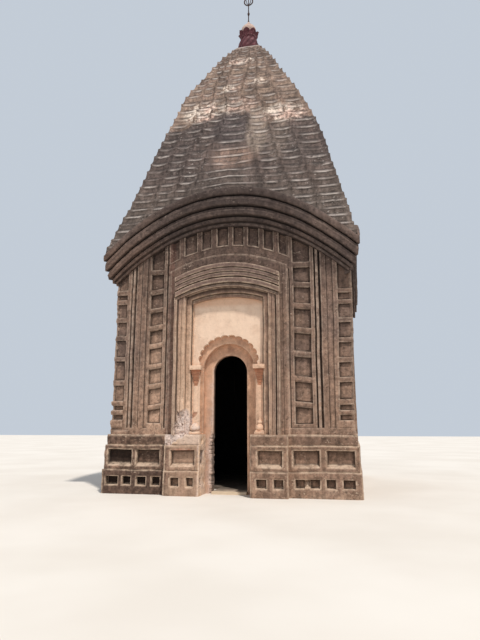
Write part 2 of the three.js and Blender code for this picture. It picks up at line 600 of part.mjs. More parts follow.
// fluted, twisted bulb
const bulb = turned([[0, NECK_Z + G], [205, NECK_Z + G], [250, NECK_Z + 42], [BULB_R, NECK_Z + 115], [262, NECK_Z + 205], [238, NECK_Z + 290], [200, NECK_Z + 360], [176, BULB_Z], [0, BULB_Z]], 30);
{
  const p = bulb.attributes.position;
  for (let i = 0; i < p.count; i++) {
    const x = p.getX(i), y = p.getY(i), z = p.getZ(i), r = Math.hypot(x, y);
    if (r < 1) continue;
    const a = Math.atan2(y, x), k = 1 + 0.055 * Math.cos(10 * (a + (z - NECK_Z) * 0.0016));
    p.setXYZ(i, x * k, y * k, z);
  }
}
put('kalasha_bulb', solid(bulb), M.red);
// lotus collar with eight pointed petals, one of them turned a little off the front
const PETAL_TURN = (-48.5 * Math.PI) / 180;
const collar = turned([[0, BULB_Z + G], [176, BULB_Z + G], [206, BULB_Z + 40], [222, BULB_Z + 110], [252, BULB_Z + 190], [238, BULB_Z + 196], [180, BULB_Z + 112], [0, BULB_Z + 112]], 32);
{
  const p = collar.attributes.position;
  for (let i = 0; i < p.count; i++) {
    const x = p.getX(i), y = p.getY(i), z = p.getZ(i), r = Math.hypot(x, y);
    if (r < 200) continue;
    const petal = Math.abs(Math.cos(4 * (Math.atan2(y, x) - PETAL_TURN)));
    const k = 0.95 + 0.07 * petal;
    p.setXYZ(i, x * k, y * k, r > 230 ? z - 105 * (1 - petal) + 40 * petal : z);
  }
}
put('kalasha_lotus', solid(collar), M.red);
put('kalasha_cap', solid(turned([[0, BULB_Z + 112 + G], [150, BULB_Z + 112 + G], [172, BULB_Z + 190], [182, BULB_Z + 270], [176, BULB_Z + 320], [116, BULB_Z + 400], [52, BULB_Z + 465], [26, BULB_Z + 520], [0, BULB_Z + 520]], 16)), M.cap);
const ROD_Z = BULB_Z + 520 + G;
put('finial_rod', solid(turned([[0, ROD_Z], [20, ROD_Z], [20, ROD_Z + 30], [ROD_R, ROD_Z + 40], [ROD_R, 11480], [26, 11505], [30, 11530], [26, 11555], [ROD_R, 11580], [ROD_R, RING_Z - RING_R - 14 - G], [0, RING_Z - RING_R - 14 - G]], 8)), M.iron);

function trident() {
  const ring = new THREE.TorusGeometry(RING_R, 13, 5, 18).rotateX(Math.PI / 2).translate(0, 0, RING_Z);
  const list = [solid(ring)];
  const tube = (pts, r, caps = true) => {
    const path = new THREE.CatmullRomCurve3(pts.map(([x, z]) => new THREE.Vector3(x, 0, z)));
    const shape = new THREE.Shape();
    for (let i = 0; i < 6; i++) { const a = (i * Math.PI) / 3; (i ? shape.lineTo : shape.moveTo).call(shape, r * Math.cos(a), r * Math.sin(a)); }
    return solid(new THREE.ExtrudeGeometry(shape, { extrudePath: path, steps: 4, bevelEnabled: false }));
  };
  list.push(tube([[0, RING_Z - RING_R - 14], [0, RING_Z - 40], [0, PRONG_TOP]], 10));
  list.push(tube([[0, RING_Z - 80], [-42, RING_Z - 48], [-56, RING_Z], [-60, RING_Z + 62]], 8));
  list.push(tube([[0, RING_Z - 80], [42, RING_Z - 48], [56, RING_Z], [60, RING_Z + 62]], 8));
  return join(list);
}
put('finial_ring', trident(), M.iron);

export default temple;
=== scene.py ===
import json
import math

import bpy
import numpy as np
from mathutils import Matrix, Vector


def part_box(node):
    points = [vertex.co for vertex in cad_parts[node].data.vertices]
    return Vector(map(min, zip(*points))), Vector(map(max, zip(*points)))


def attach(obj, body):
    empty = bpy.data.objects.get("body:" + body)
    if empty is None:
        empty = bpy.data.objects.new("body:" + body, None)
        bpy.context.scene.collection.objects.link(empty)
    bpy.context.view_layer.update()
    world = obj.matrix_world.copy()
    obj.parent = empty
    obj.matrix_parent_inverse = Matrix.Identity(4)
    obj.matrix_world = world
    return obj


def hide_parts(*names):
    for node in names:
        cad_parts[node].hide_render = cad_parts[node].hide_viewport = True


# ============================================================================
# Small plastered brick temple.  Metres, +Z up, the door faces -Y.
# ============================================================================
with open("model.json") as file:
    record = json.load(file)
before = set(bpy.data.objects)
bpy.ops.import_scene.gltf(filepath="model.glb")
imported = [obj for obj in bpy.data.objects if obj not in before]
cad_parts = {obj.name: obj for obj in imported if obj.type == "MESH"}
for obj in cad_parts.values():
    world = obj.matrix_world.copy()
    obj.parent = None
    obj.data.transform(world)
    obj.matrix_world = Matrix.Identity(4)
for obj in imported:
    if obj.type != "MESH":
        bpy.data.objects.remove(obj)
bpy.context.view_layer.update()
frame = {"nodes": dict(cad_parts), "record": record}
NODES = frame["nodes"]

# ------------------------------------------------------------------- camera
YAW, PITCH = 0.20505, 0.20077
EYE = Vector((2.15469, -11.43947, 1.16298))
look = Vector((-math.sin(YAW) * math.cos(PITCH), math.cos(YAW) * math.cos(PITCH), math.sin(PITCH)))
right = Vector((math.cos(YAW), math.sin(YAW), 0))
up = right.cross(look)
cam_data = bpy.data.cameras.new("camera")
cam = bpy.data.objects.new("camera", cam_data)
bpy.context.scene.collection.objects.link(cam)
cam.matrix_world = Matrix((
    (right.x, up.x, -look.x, EYE.x),
    (right.y, up.y, -look.y, EYE.y),
    (right.z, up.z, -look.z, EYE.z),
    (0, 0, 0, 1)))
cam_data.sensor_width = 36.0
cam_data.sensor_fit = "AUTO"
cam_data.lens = 29.576
cam_data.clip_end = 400.0
bpy.context.scene.camera = cam


# -------------------------------------------------------------------- noise
def _hash(ix, iy, iz, seed):
    h = (ix * 374761393 + iy * 668265263 + iz * 1440662683 + seed * 974634777) & 0xFFFFFFFF
    h = ((h ^ (h >> 13)) * 1274126177) & 0xFFFFFFFF
    h = h ^ (h >> 16)
    return (h & 0xFFFFFF) / float(0x7FFFFF) - 1.0


def noise(P, freq, seed=0):
    q = np.asarray(P, float) * freq
    i = np.floor(q).astype(np.int64)
    f = q - i
    u = f * f * (3 - 2 * f)
    r = 0.0
    for dx in (0, 1):
        wx = u[..., 0] if dx else 1 - u[..., 0]
        for dy in (0, 1):
            wy = u[..., 1] if dy else 1 - u[..., 1]
            for dz in (0, 1):
                wz = u[..., 2] if dz else 1 - u[..., 2]
                r = r + wx * wy * wz * _hash(i[..., 0] + dx, i[..., 1] + dy, i[..., 2] + dz, seed)
    return r


def fbm(P, freq, octaves=3, seed=0, gain=0.5):
    r, a, s = 0.0, 1.0, 0.0
    for k in range(octaves):
        r = r + a * noise(P, freq * 2.03 ** k, seed + 17 * k)
        s += a
        a *= gain
    return r / s


def wobble(P, amp, freq, seed):
    return amp * np.stack([noise(P, freq, seed), noise(P, freq, seed + 101), noise(P, freq, seed + 202)], -1)


def rand(k, seed=0):
    a = np.asarray(k, np.int64)
    return _hash(a, a * 0 + 7, a * 0 + 3, seed)


def clip01(a):
    return np.clip(a, 0.0, 1.0)


def smooth(a, b, x):
    t = clip01((x - a) / (b - a))
    return t * t * (3 - 2 * t)


# ------------------------------------------------------------- mesh building
class Build:
    """Collects vertices, faces and point values, then makes one mesh object."""

    def __init__(self):
        self.v, self.f, self.w, self.c, self.l, self.n = [], [], [], [], [], 0
        self.mids = {}

    def add(self, P, wear_and_highlight=None, dirt_and_shade=None, lime=None):
        P = np.asarray(P, float).reshape(-1, 3)
        k = len(P)
        self.v.append(P)
        self.w.append(np.zeros(k) if wear_and_highlight is None else np.broadcast_to(np.asarray(wear_and_highlight, float).reshape(-1), (k,)))
        self.c.append(np.zeros(k) if dirt_and_shade is None else np.broadcast_to(np.asarray(dirt_and_shade, float).reshape(-1), (k,)))
        self.l.append(np.zeros(k) if lime is None else np.broadcast_to(np.asarray(lime, float).reshape(-1), (k,)))
        base = self.n
        self.n += k
        return base

    def quads(self, a, b, c, d):
        q = np.stack([np.ravel(a), np.ravel(b), np.ravel(c), np.ravel(d)], -1)
        self.f.extend(q.tolist())

    def ngon(self, idx):
        self.f.append([int(i) for i in idx])

    def grid(self, P, wear_and_highlight=None, dirt_and_shade=None, mask=None, flip=False, wrap=False, lime=None):
        nr, nc = P.shape[:2]
        base = self.add(P, wear_and_highlight, dirt_and_shade, lime)
        I = base + np.arange(nr * nc).reshape(nr, nc)
        a, b, c, d = I[:-1, :-1], I[:-1, 1:], I[1:, 1:], I[1:, :-1]
        if mask is not None:
            a, b, c, d = a[mask], b[mask], c[mask], d[mask]
        if flip:
            b, d = d, b
        self.quads(a, b, c, d)
        if wrap:
            a, b, c, d = I[:-1, -1], I[:-1, 0], I[1:, 0], I[1:, -1]
            if flip:
                b, d = d, b
            self.quads(a, b, c, d)
        return I

    def make(self, name, mats, angle=38, weld=False):
        me = bpy.data.meshes.new(name)
        V = np.concatenate(self.v)
        W, C, L = np.concatenate(self.w), np.concatenate(self.c), np.concatenate(self.l)
        if weld:
            _, first, inv = np.unique(np.round(V, 5), axis=0, return_index=True, return_inverse=True)
            inv = np.asarray(inv).ravel()
            faces = []
            for f in self.f:
                q = [int(first[inv[i]]) for i in f]
                q = [a for i, a in enumerate(q) if a != q[i - 1]]
                if len(q) > 2 and len(set(q)) == len(q):
                    faces.append(q)
            self.f = faces
        used = np.zeros(len(V), bool)
        flat = np.fromiter((i for f in self.f for i in f), np.int64)
        used[flat] = True
        remap = np.cumsum(used) - 1
        V, W, C, L = V[used], W[used], C[used], L[used]
        loops = remap[flat]
        sizes = np.array([len(f) for f in self.f])
        starts = np.concatenate([[0], np.cumsum(sizes)[:-1]])
        me.vertices.add(len(V))
        me.vertices.foreach_set("co", V.astype(np.float32).ravel())
        me.loops.add(len(loops))
        me.loops.foreach_set("vertex_index", loops.astype(np.int32))
        me.polygons.add(len(sizes))
        me.polygons.foreach_set("loop_start", starts.astype(np.int32))
        for nm, arr in (("wear_and_highlight", W), ("dirt_and_shade", C), ("lime", L)):
            at = me.attributes.new(nm, "FLOAT", "POINT")
            at.data.foreach_set("value", arr.astype(np.float32))
        me.update(calc_edges=True)
        me.validate()
        me.polygons.foreach_set("use_smooth", np.ones(len(me.polygons), bool))
        me.set_sharp_from_angle(angle=math.radians(angle))
        o = bpy.data.objects.new(name, me)
        bpy.context.scene.collection.objects.link(o)
        for m in (mats if isinstance(mats, (list, tuple)) else [mats]):
            me.materials.append(m)
        return o


PIECES = []


def place(o, slot, *nodes):
    if nodes:
        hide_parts(*nodes)
    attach(o, "root")
    PIECES.append(o)
    return o


def turn(P, k):
    c, s = ((1, 0), (0, 1), (-1, 0), (0, -1))[k % 4]
    out = P.copy()
    out[..., 0] = c * P[..., 0] - s * P[..., 1]
    out[..., 1] = s * P[..., 0] + c * P[..., 1]
    return out


def lines(edges, lo, hi, step, b=0.007):
    pts = [lo, hi]
    for e in edges:
        for q in (e - b / 2, e + b / 2):
            if lo + 1e-4 < q < hi - 1e-4:
                pts.append(q)
    pts = sorted(pts)
    keep = [pts[0]]
    for q in pts[1:]:
        if q - keep[-1] > 0.0015:
            keep.append(q)
    keep[-1] = hi
    out = []
    for a, c in zip(keep[:-1], keep[1:]):
        n = max(1, int(math.ceil((c - a) / step)))
        out += [a + (c - a) * i / n for i in range(n)]
    return np.array(out + [hi])


def around(off, X, Z, r, ends=None):
    O = off(X, Z)
    s = 0.0
    if ends is not None:
        # the face ends in an arris at these lines
        inner, (x0, x1, z0, z1) = off, ends
        off = lambda A, B: inner(A, B) - .05 * ((A > x1 + 1e-5) | (A < x0 - 1e-5) | (B > z1 + 1e-5) | (B < z0 - 1e-5))
    for dx, dz in ((r, 0), (-r, 0), (0, r), (0, -r), (.7 * r, .7 * r), (-.7 * r, .7 * r), (.7 * r, -.7 * r), (-.7 * r, -.7 * r)):
        s = s + off(X + dx, Z + dz)
    return O, O - s / 8.0


# ---------------------------------------------------------------- materials
def lin(c):
    return tuple(((v / 255.0) / 12.92 if v / 255.0 <= 0.04045 else ((v / 255.0 + 0.055) / 1.055) ** 2.4) for v in c) + (1.0,)


class Graph:
    def __init__(self, name):
        self.mat = bpy.data.materials.new(name)
        self.mat.use_nodes = True
        self.t = self.mat.node_tree
        self.t.nodes.clear()
        self.out = self.t.nodes.new("ShaderNodeOutputMaterial")
        self.bsdf = self.t.nodes.new("ShaderNodeBsdfPrincipled")
        self.t.links.new(self.bsdf.outputs[0], self.out.inputs[0])
        self.co = self.t.nodes.new("ShaderNodeTexCoord").outputs["Object"]

    def set(self, sock, v):
        if hasattr(v, "links") or isinstance(v, bpy.types.NodeSocket):
            self.t.links.new(v, sock)
        else:
            sock.default_value = v

    def math(self, op, a, b=0.0, c=None, clamp=False):
        n = self.t.nodes.new("ShaderNodeMath")
        n.operation = op
        n.use_clamp = clamp
        self.set(n.inputs[0], a)
        self.set(n.inputs[1], b)
        if c is not None:
            self.set(n.inputs[2], c)
        return n.outputs[0]

    def vec(self, scale, rot=(0, 0, 0), loc=(0, 0, 0)):
        n = self.t.nodes.new("ShaderNodeMapping")
        self.t.links.new(self.co, n.inputs[0])
        n.inputs["Scale"].default_value = scale
        n.inputs["Rotation"].default_value = rot
        n.inputs["Location"].default_value = loc
        return n.outputs[0]

    def noise(self, scale, detail=4, rough=0.55, vec=None, distort=0.0, out=0):
        n = self.t.nodes.new("ShaderNodeTexNoise")
        self.t.links.new(vec if vec is not None else self.co, n.inputs["Vector"])
        n.inputs["Scale"].default_value = scale
        n.inputs["Detail"].default_value = detail
        n.inputs["Roughness"].default_value = rough
        n.inputs["Distortion"].default_value = distort
        return n.outputs[out]

    def voronoi(self, scale, vec=None, feature="F1", out="Distance", rand=1.0):
        n = self.t.nodes.new("ShaderNodeTexVoronoi")
        n.feature = feature
        self.t.links.new(vec if vec is not None else self.co, n.inputs["Vector"])
        n.inputs["Scale"].default_value = scale
        n.inputs["Randomness"].default_value = rand
        return n.outputs[out]

    def attr(self, name):
        n = self.t.nodes.new("ShaderNodeAttribute")
        n.attribute_name = name
        return n.outputs["Fac"]

    def xyz(self):
        n = self.t.nodes.new("ShaderNodeSeparateXYZ")
        self.t.links.new(self.co, n.inputs[0])
        return n.outputs

    def range(self, v, a, b, c=0.0, d=1.0, smooth=True):
        n = self.t.nodes.new("ShaderNodeMapRange")
        n.interpolation_type = "SMOOTHSTEP" if smooth else "LINEAR"
        self.set(n.inputs[0], v)
        for i, q in zip((1, 2, 3, 4), (a, b, c, d)):
            n.inputs[i].default_value = q
        return n.outputs[0]

    def mix(self, fac, a, b, mode="MIX"):
        n = self.t.nodes.new("ShaderNodeMix")
        n.data_type = "RGBA"
        n.blend_type = mode
        n.clamp_factor = True
        self.set(n.inputs[0], fac)
        self.set(n.inputs[6], a)
        self.set(n.inputs[7], b)
        return n.outputs[2]

    def ramp(self, fac, stops):
        n = self.t.nodes.new("ShaderNodeValToRGB")
        self.set(n.inputs[0], fac)
        e = n.color_ramp.elements
        e.remove(e[1])
        e[0].position = stops[0][0]
        for k, (p, c) in enumerate(stops):
            (e.new(p) if k else e[0]).color = c if len(c) == 4 else lin(c)
        return n.outputs[0]

    def bump(self, height, strength, dist, normal=None):
        n = self.t.nodes.new("ShaderNodeBump")
        n.inputs["Strength"].default_value = strength
        n.inputs["Distance"].default_value = dist
        self.set(n.inputs["Height"], height)
        if normal is not None:
            self.t.links.new(normal, n.inputs["Normal"])
        return n.outputs[0]


def blob(g, u, z, cx, cz, rx, rz, soft=0.6, jitter=0.5, freq=3.1):
    """1 inside a soft ellipse on the wall, 0 outside, with a ragged edge."""
    dx = g.math("DIVIDE", g.math("SUBTRACT", u, cx), rx)
    dz = g.math("DIVIDE", g.math("SUBTRACT", z, cz), rz)
    d = g.math("SQRT", g.math("ADD", g.math("MULTIPLY", dx, dx), g.math("MULTIPLY", dz, dz)))
    d = g.math("ADD", d, g.math("MULTIPLY", g.math("SUBTRACT", g.noise(freq, 4, 0.65), 0.5), 2 * jitter))
    return g.range(d, 1.0 + soft * 0.5, 1.0 - soft * 0.5)


# where the darker lower plaster of the tower ends: (across, height)
TIDE = [(-1.55, 7.42), (-1.228, 7.437), (-1.098, 7.476), (-.952, 7.572), (-.781, 7.635), (-.564, 7.693), (-.310, 7.807), (.090, 7.768), (.267, 7.737),
        (.459, 7.405), (.591, 7.273), (.860, 7.342), (1.170, 7.405), (1.376, 7.458), (1.621, 7.475)]


def wall_material(name, base, dark, pale, warm, kind="wall", rug=1.0):
    g = Graph(name)
    s = g.xyz()
    ax, ay = g.math("ABSOLUTE", s[0]), g.math("ABSOLUTE", s[1])
    # position across the face, whichever side it is on
    u = g.math("ADD", s[0], g.math("MULTIPLY", g.math("GREATER_THAN", ax, ay), g.math("SUBTRACT", s[1], s[0])))
    front = g.range(s[1], -1.85, -2.05)
    big = g.noise(0.9, 5, 0.6)
    mid = g.noise(4.5, 6, 0.62)
    mott = g.noise(13.0, 6, 0.70, vec=g.vec((1, 1, 1), loc=(4, 8, 1)))
    fine = g.noise(34.0, 6, 0.72)
    streak = g.noise(5.0, 5, 0.6, vec=g.vec((1, 1, 0.09)))
    streak2 = g.noise(14.0, 4, 0.62, vec=g.vec((1, 1, 0.06), loc=(3, 1, 0)))
    patch = g.noise(2.2, 5, 0.65, vec=g.vec((1, 1, 1), loc=(7, 3, 5)))
    col = g.mix(g.range(big, 0.38, 0.62), lin(base), lin(warm))
    col = g.mix(g.math("MULTIPLY", g.range(mid, 0.44, 0.68), 0.55), col, lin(dark))
    lit = lin(pale)
    if kind == "tower":
        z_tide = g.math("ADD", 7.0, g.ramp(g.range(u, -1.7, 1.7, smooth=False), [((x + 1.7) / 3.4, (z - 7.0,) * 3 + (1.0,)) for x, z in TIDE]))
        over = g.math("ADD", g.math("SUBTRACT", s[2], z_tide), g.math("MULTIPLY", g.math("SUBTRACT", g.noise(5.5, 5, 0.7), 0.5), 0.42))
        above = g.range(over, -0.05, 0.07)
        tan = g.mix(g.range(mid, 0.36, 0.64), lin((145, 123, 108)), lin((114, 96, 86)))
        tan = g.mix(g.math("MULTIPLY", g.range(patch, 0.50, 0.66), 0.5), tan, lin((152, 124, 110)))
        tan = g.mix(g.math("MULTIPLY", g.range(s[2], 9.3, 10.2), 0.35), tan, lin((100, 84, 78)))
        col = g.mix(above, col, tan)
        # lower down on the shoulders the plaster is greyer
        col = g.mix(g.math("MULTIPLY", g.range(s[2], 6.6, 5.2), 0.45), col, lin((108, 96, 86)))
        dim = g.math("MULTIPLY", g.math("SUBTRACT", 1.0, above), g.range(u, -0.55, -0.95))
        col = g.mix(g.math("MULTIPLY", dim, g.math("MULTIPLY", g.range(s[2], 5.7, 6.3), 0.32)), col, lin((74, 65, 63)))
        col = g.mix(g.math("MULTIPLY", blob(g, u, s[2], -.08, 7.30, .40, .44, 0.6), 0.55), col, lin((80, 71, 71)))
        col = g.mix(g.math("MULTIPLY", blob(g, u, s[2], 0.055, 6.54, .46, .25, 0.8), g.range(mott, 0.62, 0.46, 0.1, 0.85)), col, lin((168, 138, 122)))
        col = g.mix(g.math("MULTIPLY", blob(g, u, s[2], 0.50, 7.22, .22, .66, 0.6), g.range(mott, 0.62, 0.46, 0.2, 0.85)), col, lin((164, 146, 132)))
        col = g.mix(g.math("MULTIPLY", blob(g, u, s[2], 0.92, 6.95, .22, .50, 0.9), 0.40), col, lin((140, 124, 112)))
        chalk = g.math("MAXIMUM", blob(g, u, s[2], -.78, 7.92, .40, .29, 0.7), blob(g, u, s[2], 1.02, 7.66, .48, .26, 0.7))
        chalk = g.math("MAXIMUM", chalk, g.math("MULTIPLY", blob(g, u, s[2], -.02, 7.98, .40, .20, 0.8), 0.75))
        chalk = g.math("MAXIMUM", chalk, blob(g, u, s[2], -.23, 8.57, .20, .13, 0.5, 0.35))
        chalk = g.math("MAXIMUM", chalk, blob(g, u, s[2], -.05, 9.66, .27, .13, 0.5, 0.35))
        chalk = g.math("MAXIMUM", chalk, g.math("MULTIPLY", blob(g, u, s[2], .43, 8.75, .24, .12, 0.7), 0.6))
        chalk = g.math("MULTIPLY", chalk, g.range(g.noise(8.0, 5, 0.7, vec=g.vec((1, 1, 1), loc=(6, 1, 2))), 0.58, 0.46))
        col = g.mix(chalk, col, g.mix(g.range(patch, 0.45, 0.6), lin((226, 208, 192)), lin((214, 180, 164))))
    if kind == "cornice":
        mid_span = g.range(g.math("ABSOLUTE", u), 1.9, 0.9)
        col = g.mix(g.math("MULTIPLY", mid_span, g.range(s[2], 5.10, 5.30, 0.45, 0.75)), col, lin(tuple(0.84 * v for v in dark)))
        left = g.math("MULTIPLY", g.range(u, -0.9, -1.6), g.range(s[2], 4.9, 4.4))
        col = g.mix(g.math("MULTIPLY", left, 0.42), col, lin((116, 90, 76)))
    if kind == "wall":
        # rain-darkened under the cornice, dustier and warmer towards the plinth
        col = g.mix(g.range(s[2], 3.0, 4.6, 0.0, 0.70), col, lin(tuple(0.78 * v for v in dark)))
        col = g.mix(g.range(s[2], 2.6, 1.1, 0.0, 0.35), col, lin((168, 134, 110)))
        low_left = g.math("MULTIPLY", g.range(g.math("ABSOLUTE", g.math("ADD", u, 1.38)), 0.22, 0.12), g.range(s[2], 3.4, 2.4))
        col = g.mix(g.math("MULTIPLY", low_left, 0.60), col, lin((178, 146, 124)))
    if kind == "frame":
        col = g.mix(g.range(s[2], 3.35, 3.75, 0.0, 0.82), col, lin((102, 84, 78)))
        col = g.mix(g.math("MULTIPLY", g.range(s[0], -0.2, -0.70), g.range(s[2], 3.5, 3.1, 0.0, 0.60)), col, lin((208, 172, 144)))
        low = g.math("MULTIPLY", g.range(s[0], -0.50, -0.60), g.range(s[2], 2.1, 1.5))
        col = g.mix(g.math("MULTIPLY", low, 0.45), col, lin((224, 192, 166)))
        col = g.mix(g.range(s[0], 0.76, 0.90, 0.0, 0.70), col, lin((112, 90, 79)))
        col = g.mix(g.range(s[0], -0.82, -0.92, 0.0, 0.55), col, lin((120, 96, 86)))
    if kind == "wall":
        ux = g.math("MULTIPLY", g.math("ABSOLUTE", s[0]), front)
        rim = g.math("MULTIPLY", g.range(ux, 0.875, 0.895), g.range(ux, 1.010, 0.990))
        col = g.mix(g.math("MULTIPLY", rim, 0.38), col, lin((100, 80, 70)))
        # painted shadow: darker strip on the wall left of the bay, where the bay casts its shadow
        bay_shadow_strip = g.math("MULTIPLY", g.math("MULTIPLY", g.range(s[0], -1.170, -1.145), g.range(s[0], -1.030, -1.055)), front)
        col = g.mix(g.math("MULTIPLY", bay_shadow_strip, 0.42), col, lin((88, 58, 50)))
    if kind == "door":
        # the colonnettes are washed cream; the capital steps under the abacus are painted orange-brown as the abacus's
        # cast shadow
        ux = g.math("ABSOLUTE", s[0])
        near = g.math("MULTIPLY", g.range(ux, 0.455, 0.485), g.range(s[1], -2.12, -2.15))
        col = g.mix(g.math("MULTIPLY", near, g.range(s[0], -0.3, 0.3, 0.70, 0.35)), col, lin((226, 196, 171)))
        # painted shadow of the abacus on the capital steps below it
        cap = g.math("MULTIPLY", g.range(s[1], -2.1815, -2.1865), g.math("MULTIPLY", g.range(s[2], 1.885, 1.905), g.range(s[2], 2.186, 2.178)))
        col = g.mix(g.math("MULTIPLY", cap, 0.85), col, lin((168, 108, 78)))
        smear = g.math("MULTIPLY", blob(g, g.math("ADD", s[0], g.math("MULTIPLY", s[2], -0.9)), s[2], -1.865, 1.365, .055, .060, 0.5, 0.25), g.range(s[0], -0.3, -0.4))
        col = g.mix(g.math("MULTIPLY", smear, 0.75), col, lin((150, 98, 74)))
    if kind == "cream":
        # painted shadow: warmer and darker at the top of the field, where the frame above casts its shadow
        col = g.mix(g.range(s[2], 3.32, 3.42, 0.0, 0.60), col, lin((208, 162, 130)))
    if kind == "plinth":
        damp = g.math("MULTIPLY", g.range(s[2], 0.34, 0.0), g.range(g.noise(3.2, 5, 0.6), 0.35, 0.62))
        col = g.mix(g.math("MULTIPLY", damp, 0.55), col, lin((176, 150, 128)))
        col = g.mix(g.range(s[2], 0.83, 0.90, 0.0, 0.45), col, lin((104, 82, 70)))
        # the left wing is darker overall and darkest in its sunk panels, where painted shade is laid over the stain
        wing = g.math("MULTIPLY", g.range(s[0], -1.02, -1.16), front)
        col = g.mix(g.math("MULTIPLY", wing, g.range(mott, 0.64, 0.40, 0.30, 0.62)), col, lin((66, 50, 42)))
        deep = g.math("MULTIPLY", g.math("MULTIPLY", wing, g.range(s[1], -2.285, -2.245)), g.range(s[2], 0.84, 0.80))
        deep = g.math("MULTIPLY", deep, g.math("MAXIMUM", g.range(s[0], -1.62, -1.70, 0.30, 0.90), g.range(s[2], 0.46, 0.40, 0.0, 0.85)))
        foot = g.math("MULTIPLY", wing, g.range(s[2], 0.44, 0.40))
        col = g.mix(g.math("MULTIPLY", foot, 0.70), col, lin((78, 60, 52)))
        col = g.mix(g.math("MULTIPLY", g.math("MULTIPLY", g.range(s[0], 0.45, 0.60), front), 0.16), col, lin((84, 62, 48)))
        # the block left of the door keeps some of its limewash, most of it on top and towards the door; its side
        # towards the door is also made paler as painted sunlight
        blk = g.math("MULTIPLY", g.math("MULTIPLY", g.range(s[0], -1.00, -0.95), g.range(s[0], -0.1, -0.3)), front)
        col = g.mix(g.math("MULTIPLY", blk, g.range(mott, 0.62, 0.40, 0.12, 0.40)), col, lin((202, 166, 138)))
        top = g.math("MULTIPLY", blk, g.range(s[2], 0.84, 0.87))
        col = g.mix(g.math("MULTIPLY", top, g.range(mott, 0.62, 0.40, 0.45, 0.85)), col, lin((212, 180, 152)))
        # limewash plus painted sunlight on the block's side towards the door
        flank = g.math("MULTIPLY", blk, g.range(s[0], -0.482, -0.462))
        col = g.mix(g.math("MULTIPLY", flank, g.range(mott, 0.62, 0.40, 0.40, 0.90)), col, lin((226, 190, 158)))
        red = g.math("MULTIPLY", blob(g, u, s[2], -0.76, 0.772, .20, .022, 0.8, 0.3), front)
        col = g.mix(g.math("MULTIPLY", red, 0.6), col, lin((184, 112, 92)))
    # weathering: mottles, grains, runs of rain
    tone = g.math("MULTIPLY", g.range(mott, 0.34, 0.66, 1 - .38 * rug, 1 + .42 * rug, False), g.range(fine, 0.30, 0.70, 1 - .22 * rug, 1 + .24 * rug, False))
    runs = rug * (0.75 if kind == "tower" else 0.55)
    tone = g.math("MULTIPLY", tone, g.range(streak, 0.36, 0.66, 1 + .18 * runs, 1 - .32 * runs))
    tone = g.math("MULTIPLY", tone, g.range(streak2, 0.36, 0.66, 1 + .16 * runs, 1 - .22 * runs))
    col = g.mix(1.0, col, tone, "MULTIPLY")
    pits = g.range(g.noise(21.0, 5, 0.65, vec=g.vec((1, 1, 1), loc=(1, 6, 9))), 0.395, 0.335)
    col = g.mix(g.math("MULTIPLY", pits, 0.62 * min(1, rug)), col, lin(tuple(0.40 * v for v in dark)))
    fleck = g.math("MULTIPLY", g.range(g.noise(19.0, 5, 0.70, vec=g.vec((1, 1, 1.5), loc=(5, 5, 2))), 0.585, 0.655), g.range(patch, 0.44, 0.56))
    col = g.mix(g.math("MULTIPLY", fleck, 0.60 * min(1, rug)), col, lit)
    if kind == "plinth":
        # painted shade with stain, deep in the left wing's sunk panels
        col = g.mix(deep, col, lin((34, 23, 18)))
    # arrises paled with wear and painted highlight; hollows, grooves and ledge undersides darkened with dirt and
    # painted shade
    wear_and_highlight = g.attr("wear_and_highlight")
    dirt_and_shade = g.attr("dirt_and_shade")
    patchy = g.range(g.noise(9.0, 5, 0.65, vec=g.vec((1, 1, 1), loc=(5, 2, 1))), 0.38, 0.60)
    a, c = {"tower": (0.42, 0.40), "plinth": (0.56, 0.25), "frame": (0.46, 0.14)}.get(kind, (0.44, 0.10))
    edge = g.math("MULTIPLY", wear_and_highlight, g.math("ADD", g.math("MULTIPLY", patchy, a), c))
    col = g.mix(g.math("MULTIPLY", dirt_and_shade, 0.70), col, lin(tuple(0.40 * v for v in dark)))
    col = g.mix(edge, col, lit)
    lime = g.attr("lime")
    lime_col = (222, 200, 188) if kind != "red" else (226, 196, 176)
    lm = g.math("MULTIPLY", lime, g.range(g.noise(11.0, 5, 0.65, vec=g.vec((1, 1, 1), loc=(2, 7, 3))), 0.30, 0.50, 0.35, 1.0))
    col = g.mix(lm, col, g.mix(g.range(mott, 0.35, 0.65), lin(lime_col), lin(tuple(0.86 * v for v in lime_col))))
    holes = g.math("MULTIPLY", lm, g.range(g.noise(30.0, 4, 0.6, vec=g.vec((1, 1, 1), loc=(8, 2, 6))), 0.46, 0.38))
    col = g.mix(g.math("MULTIPLY", holes, 0.70), col, lin((112, 86, 74)))
    if kind in ("wall", "plinth", "floor", "door", "cornice"):
        # painted shade: the inside is coloured near-black, standing in for the unlit interior
        inner = g.range(g.math("MAXIMUM", ax, ay), 1.31, 1.27)
        if kind == "floor":
            # dust lies on the sill; the painted shade of the unlit interior starts behind it
            col = g.mix(g.range(s[1], -1.85, -2.05, 0.0, 0.80), col, lin((222, 200, 172)))
            inner = g.range(s[1], -1.90, -1.50, 0.0, 0.62)
        if kind == "door":
            inner = g.range(s[1], -1.935, -1.90, 0.0, 0.72)
        col = g.mix(inner, col, lin((30, 27, 26)))
    # fine crazing
    cr = g.voronoi(9.0, feature="DISTANCE_TO_EDGE", vec=g.vec((1, 1, 0.8)))
    crack = g.math("MULTIPLY", g.range(cr, 0.012, 0.0), g.range(patch, 0.52, 0.62))
    col = g.mix(g.math("MULTIPLY", crack, 0.55), col, lin(tuple(0.35 * v for v in dark)))
    g.set(g.bsdf.inputs["Base Color"], col)
    g.set(g.bsdf.inputs["Roughness"], g.range(fine, 0.2, 0.8, 0.82, 0.98))
    g.bsdf.inputs["Specular IOR Level"].default_value = 0.22
    h = g.math("ADD", g.math("MULTIPLY", fine, 0.55), g.math("MULTIPLY", mott, 0.8))
    h = g.math("SUBTRACT", h, g.math("ADD", g.math("MULTIPLY", crack, 0.5), g.math("MULTIPLY", pits, 0.4)))
    g.set(g.bsdf.inputs["Normal"], g.bump(h, 0.6, 0.012))
    return g.mat


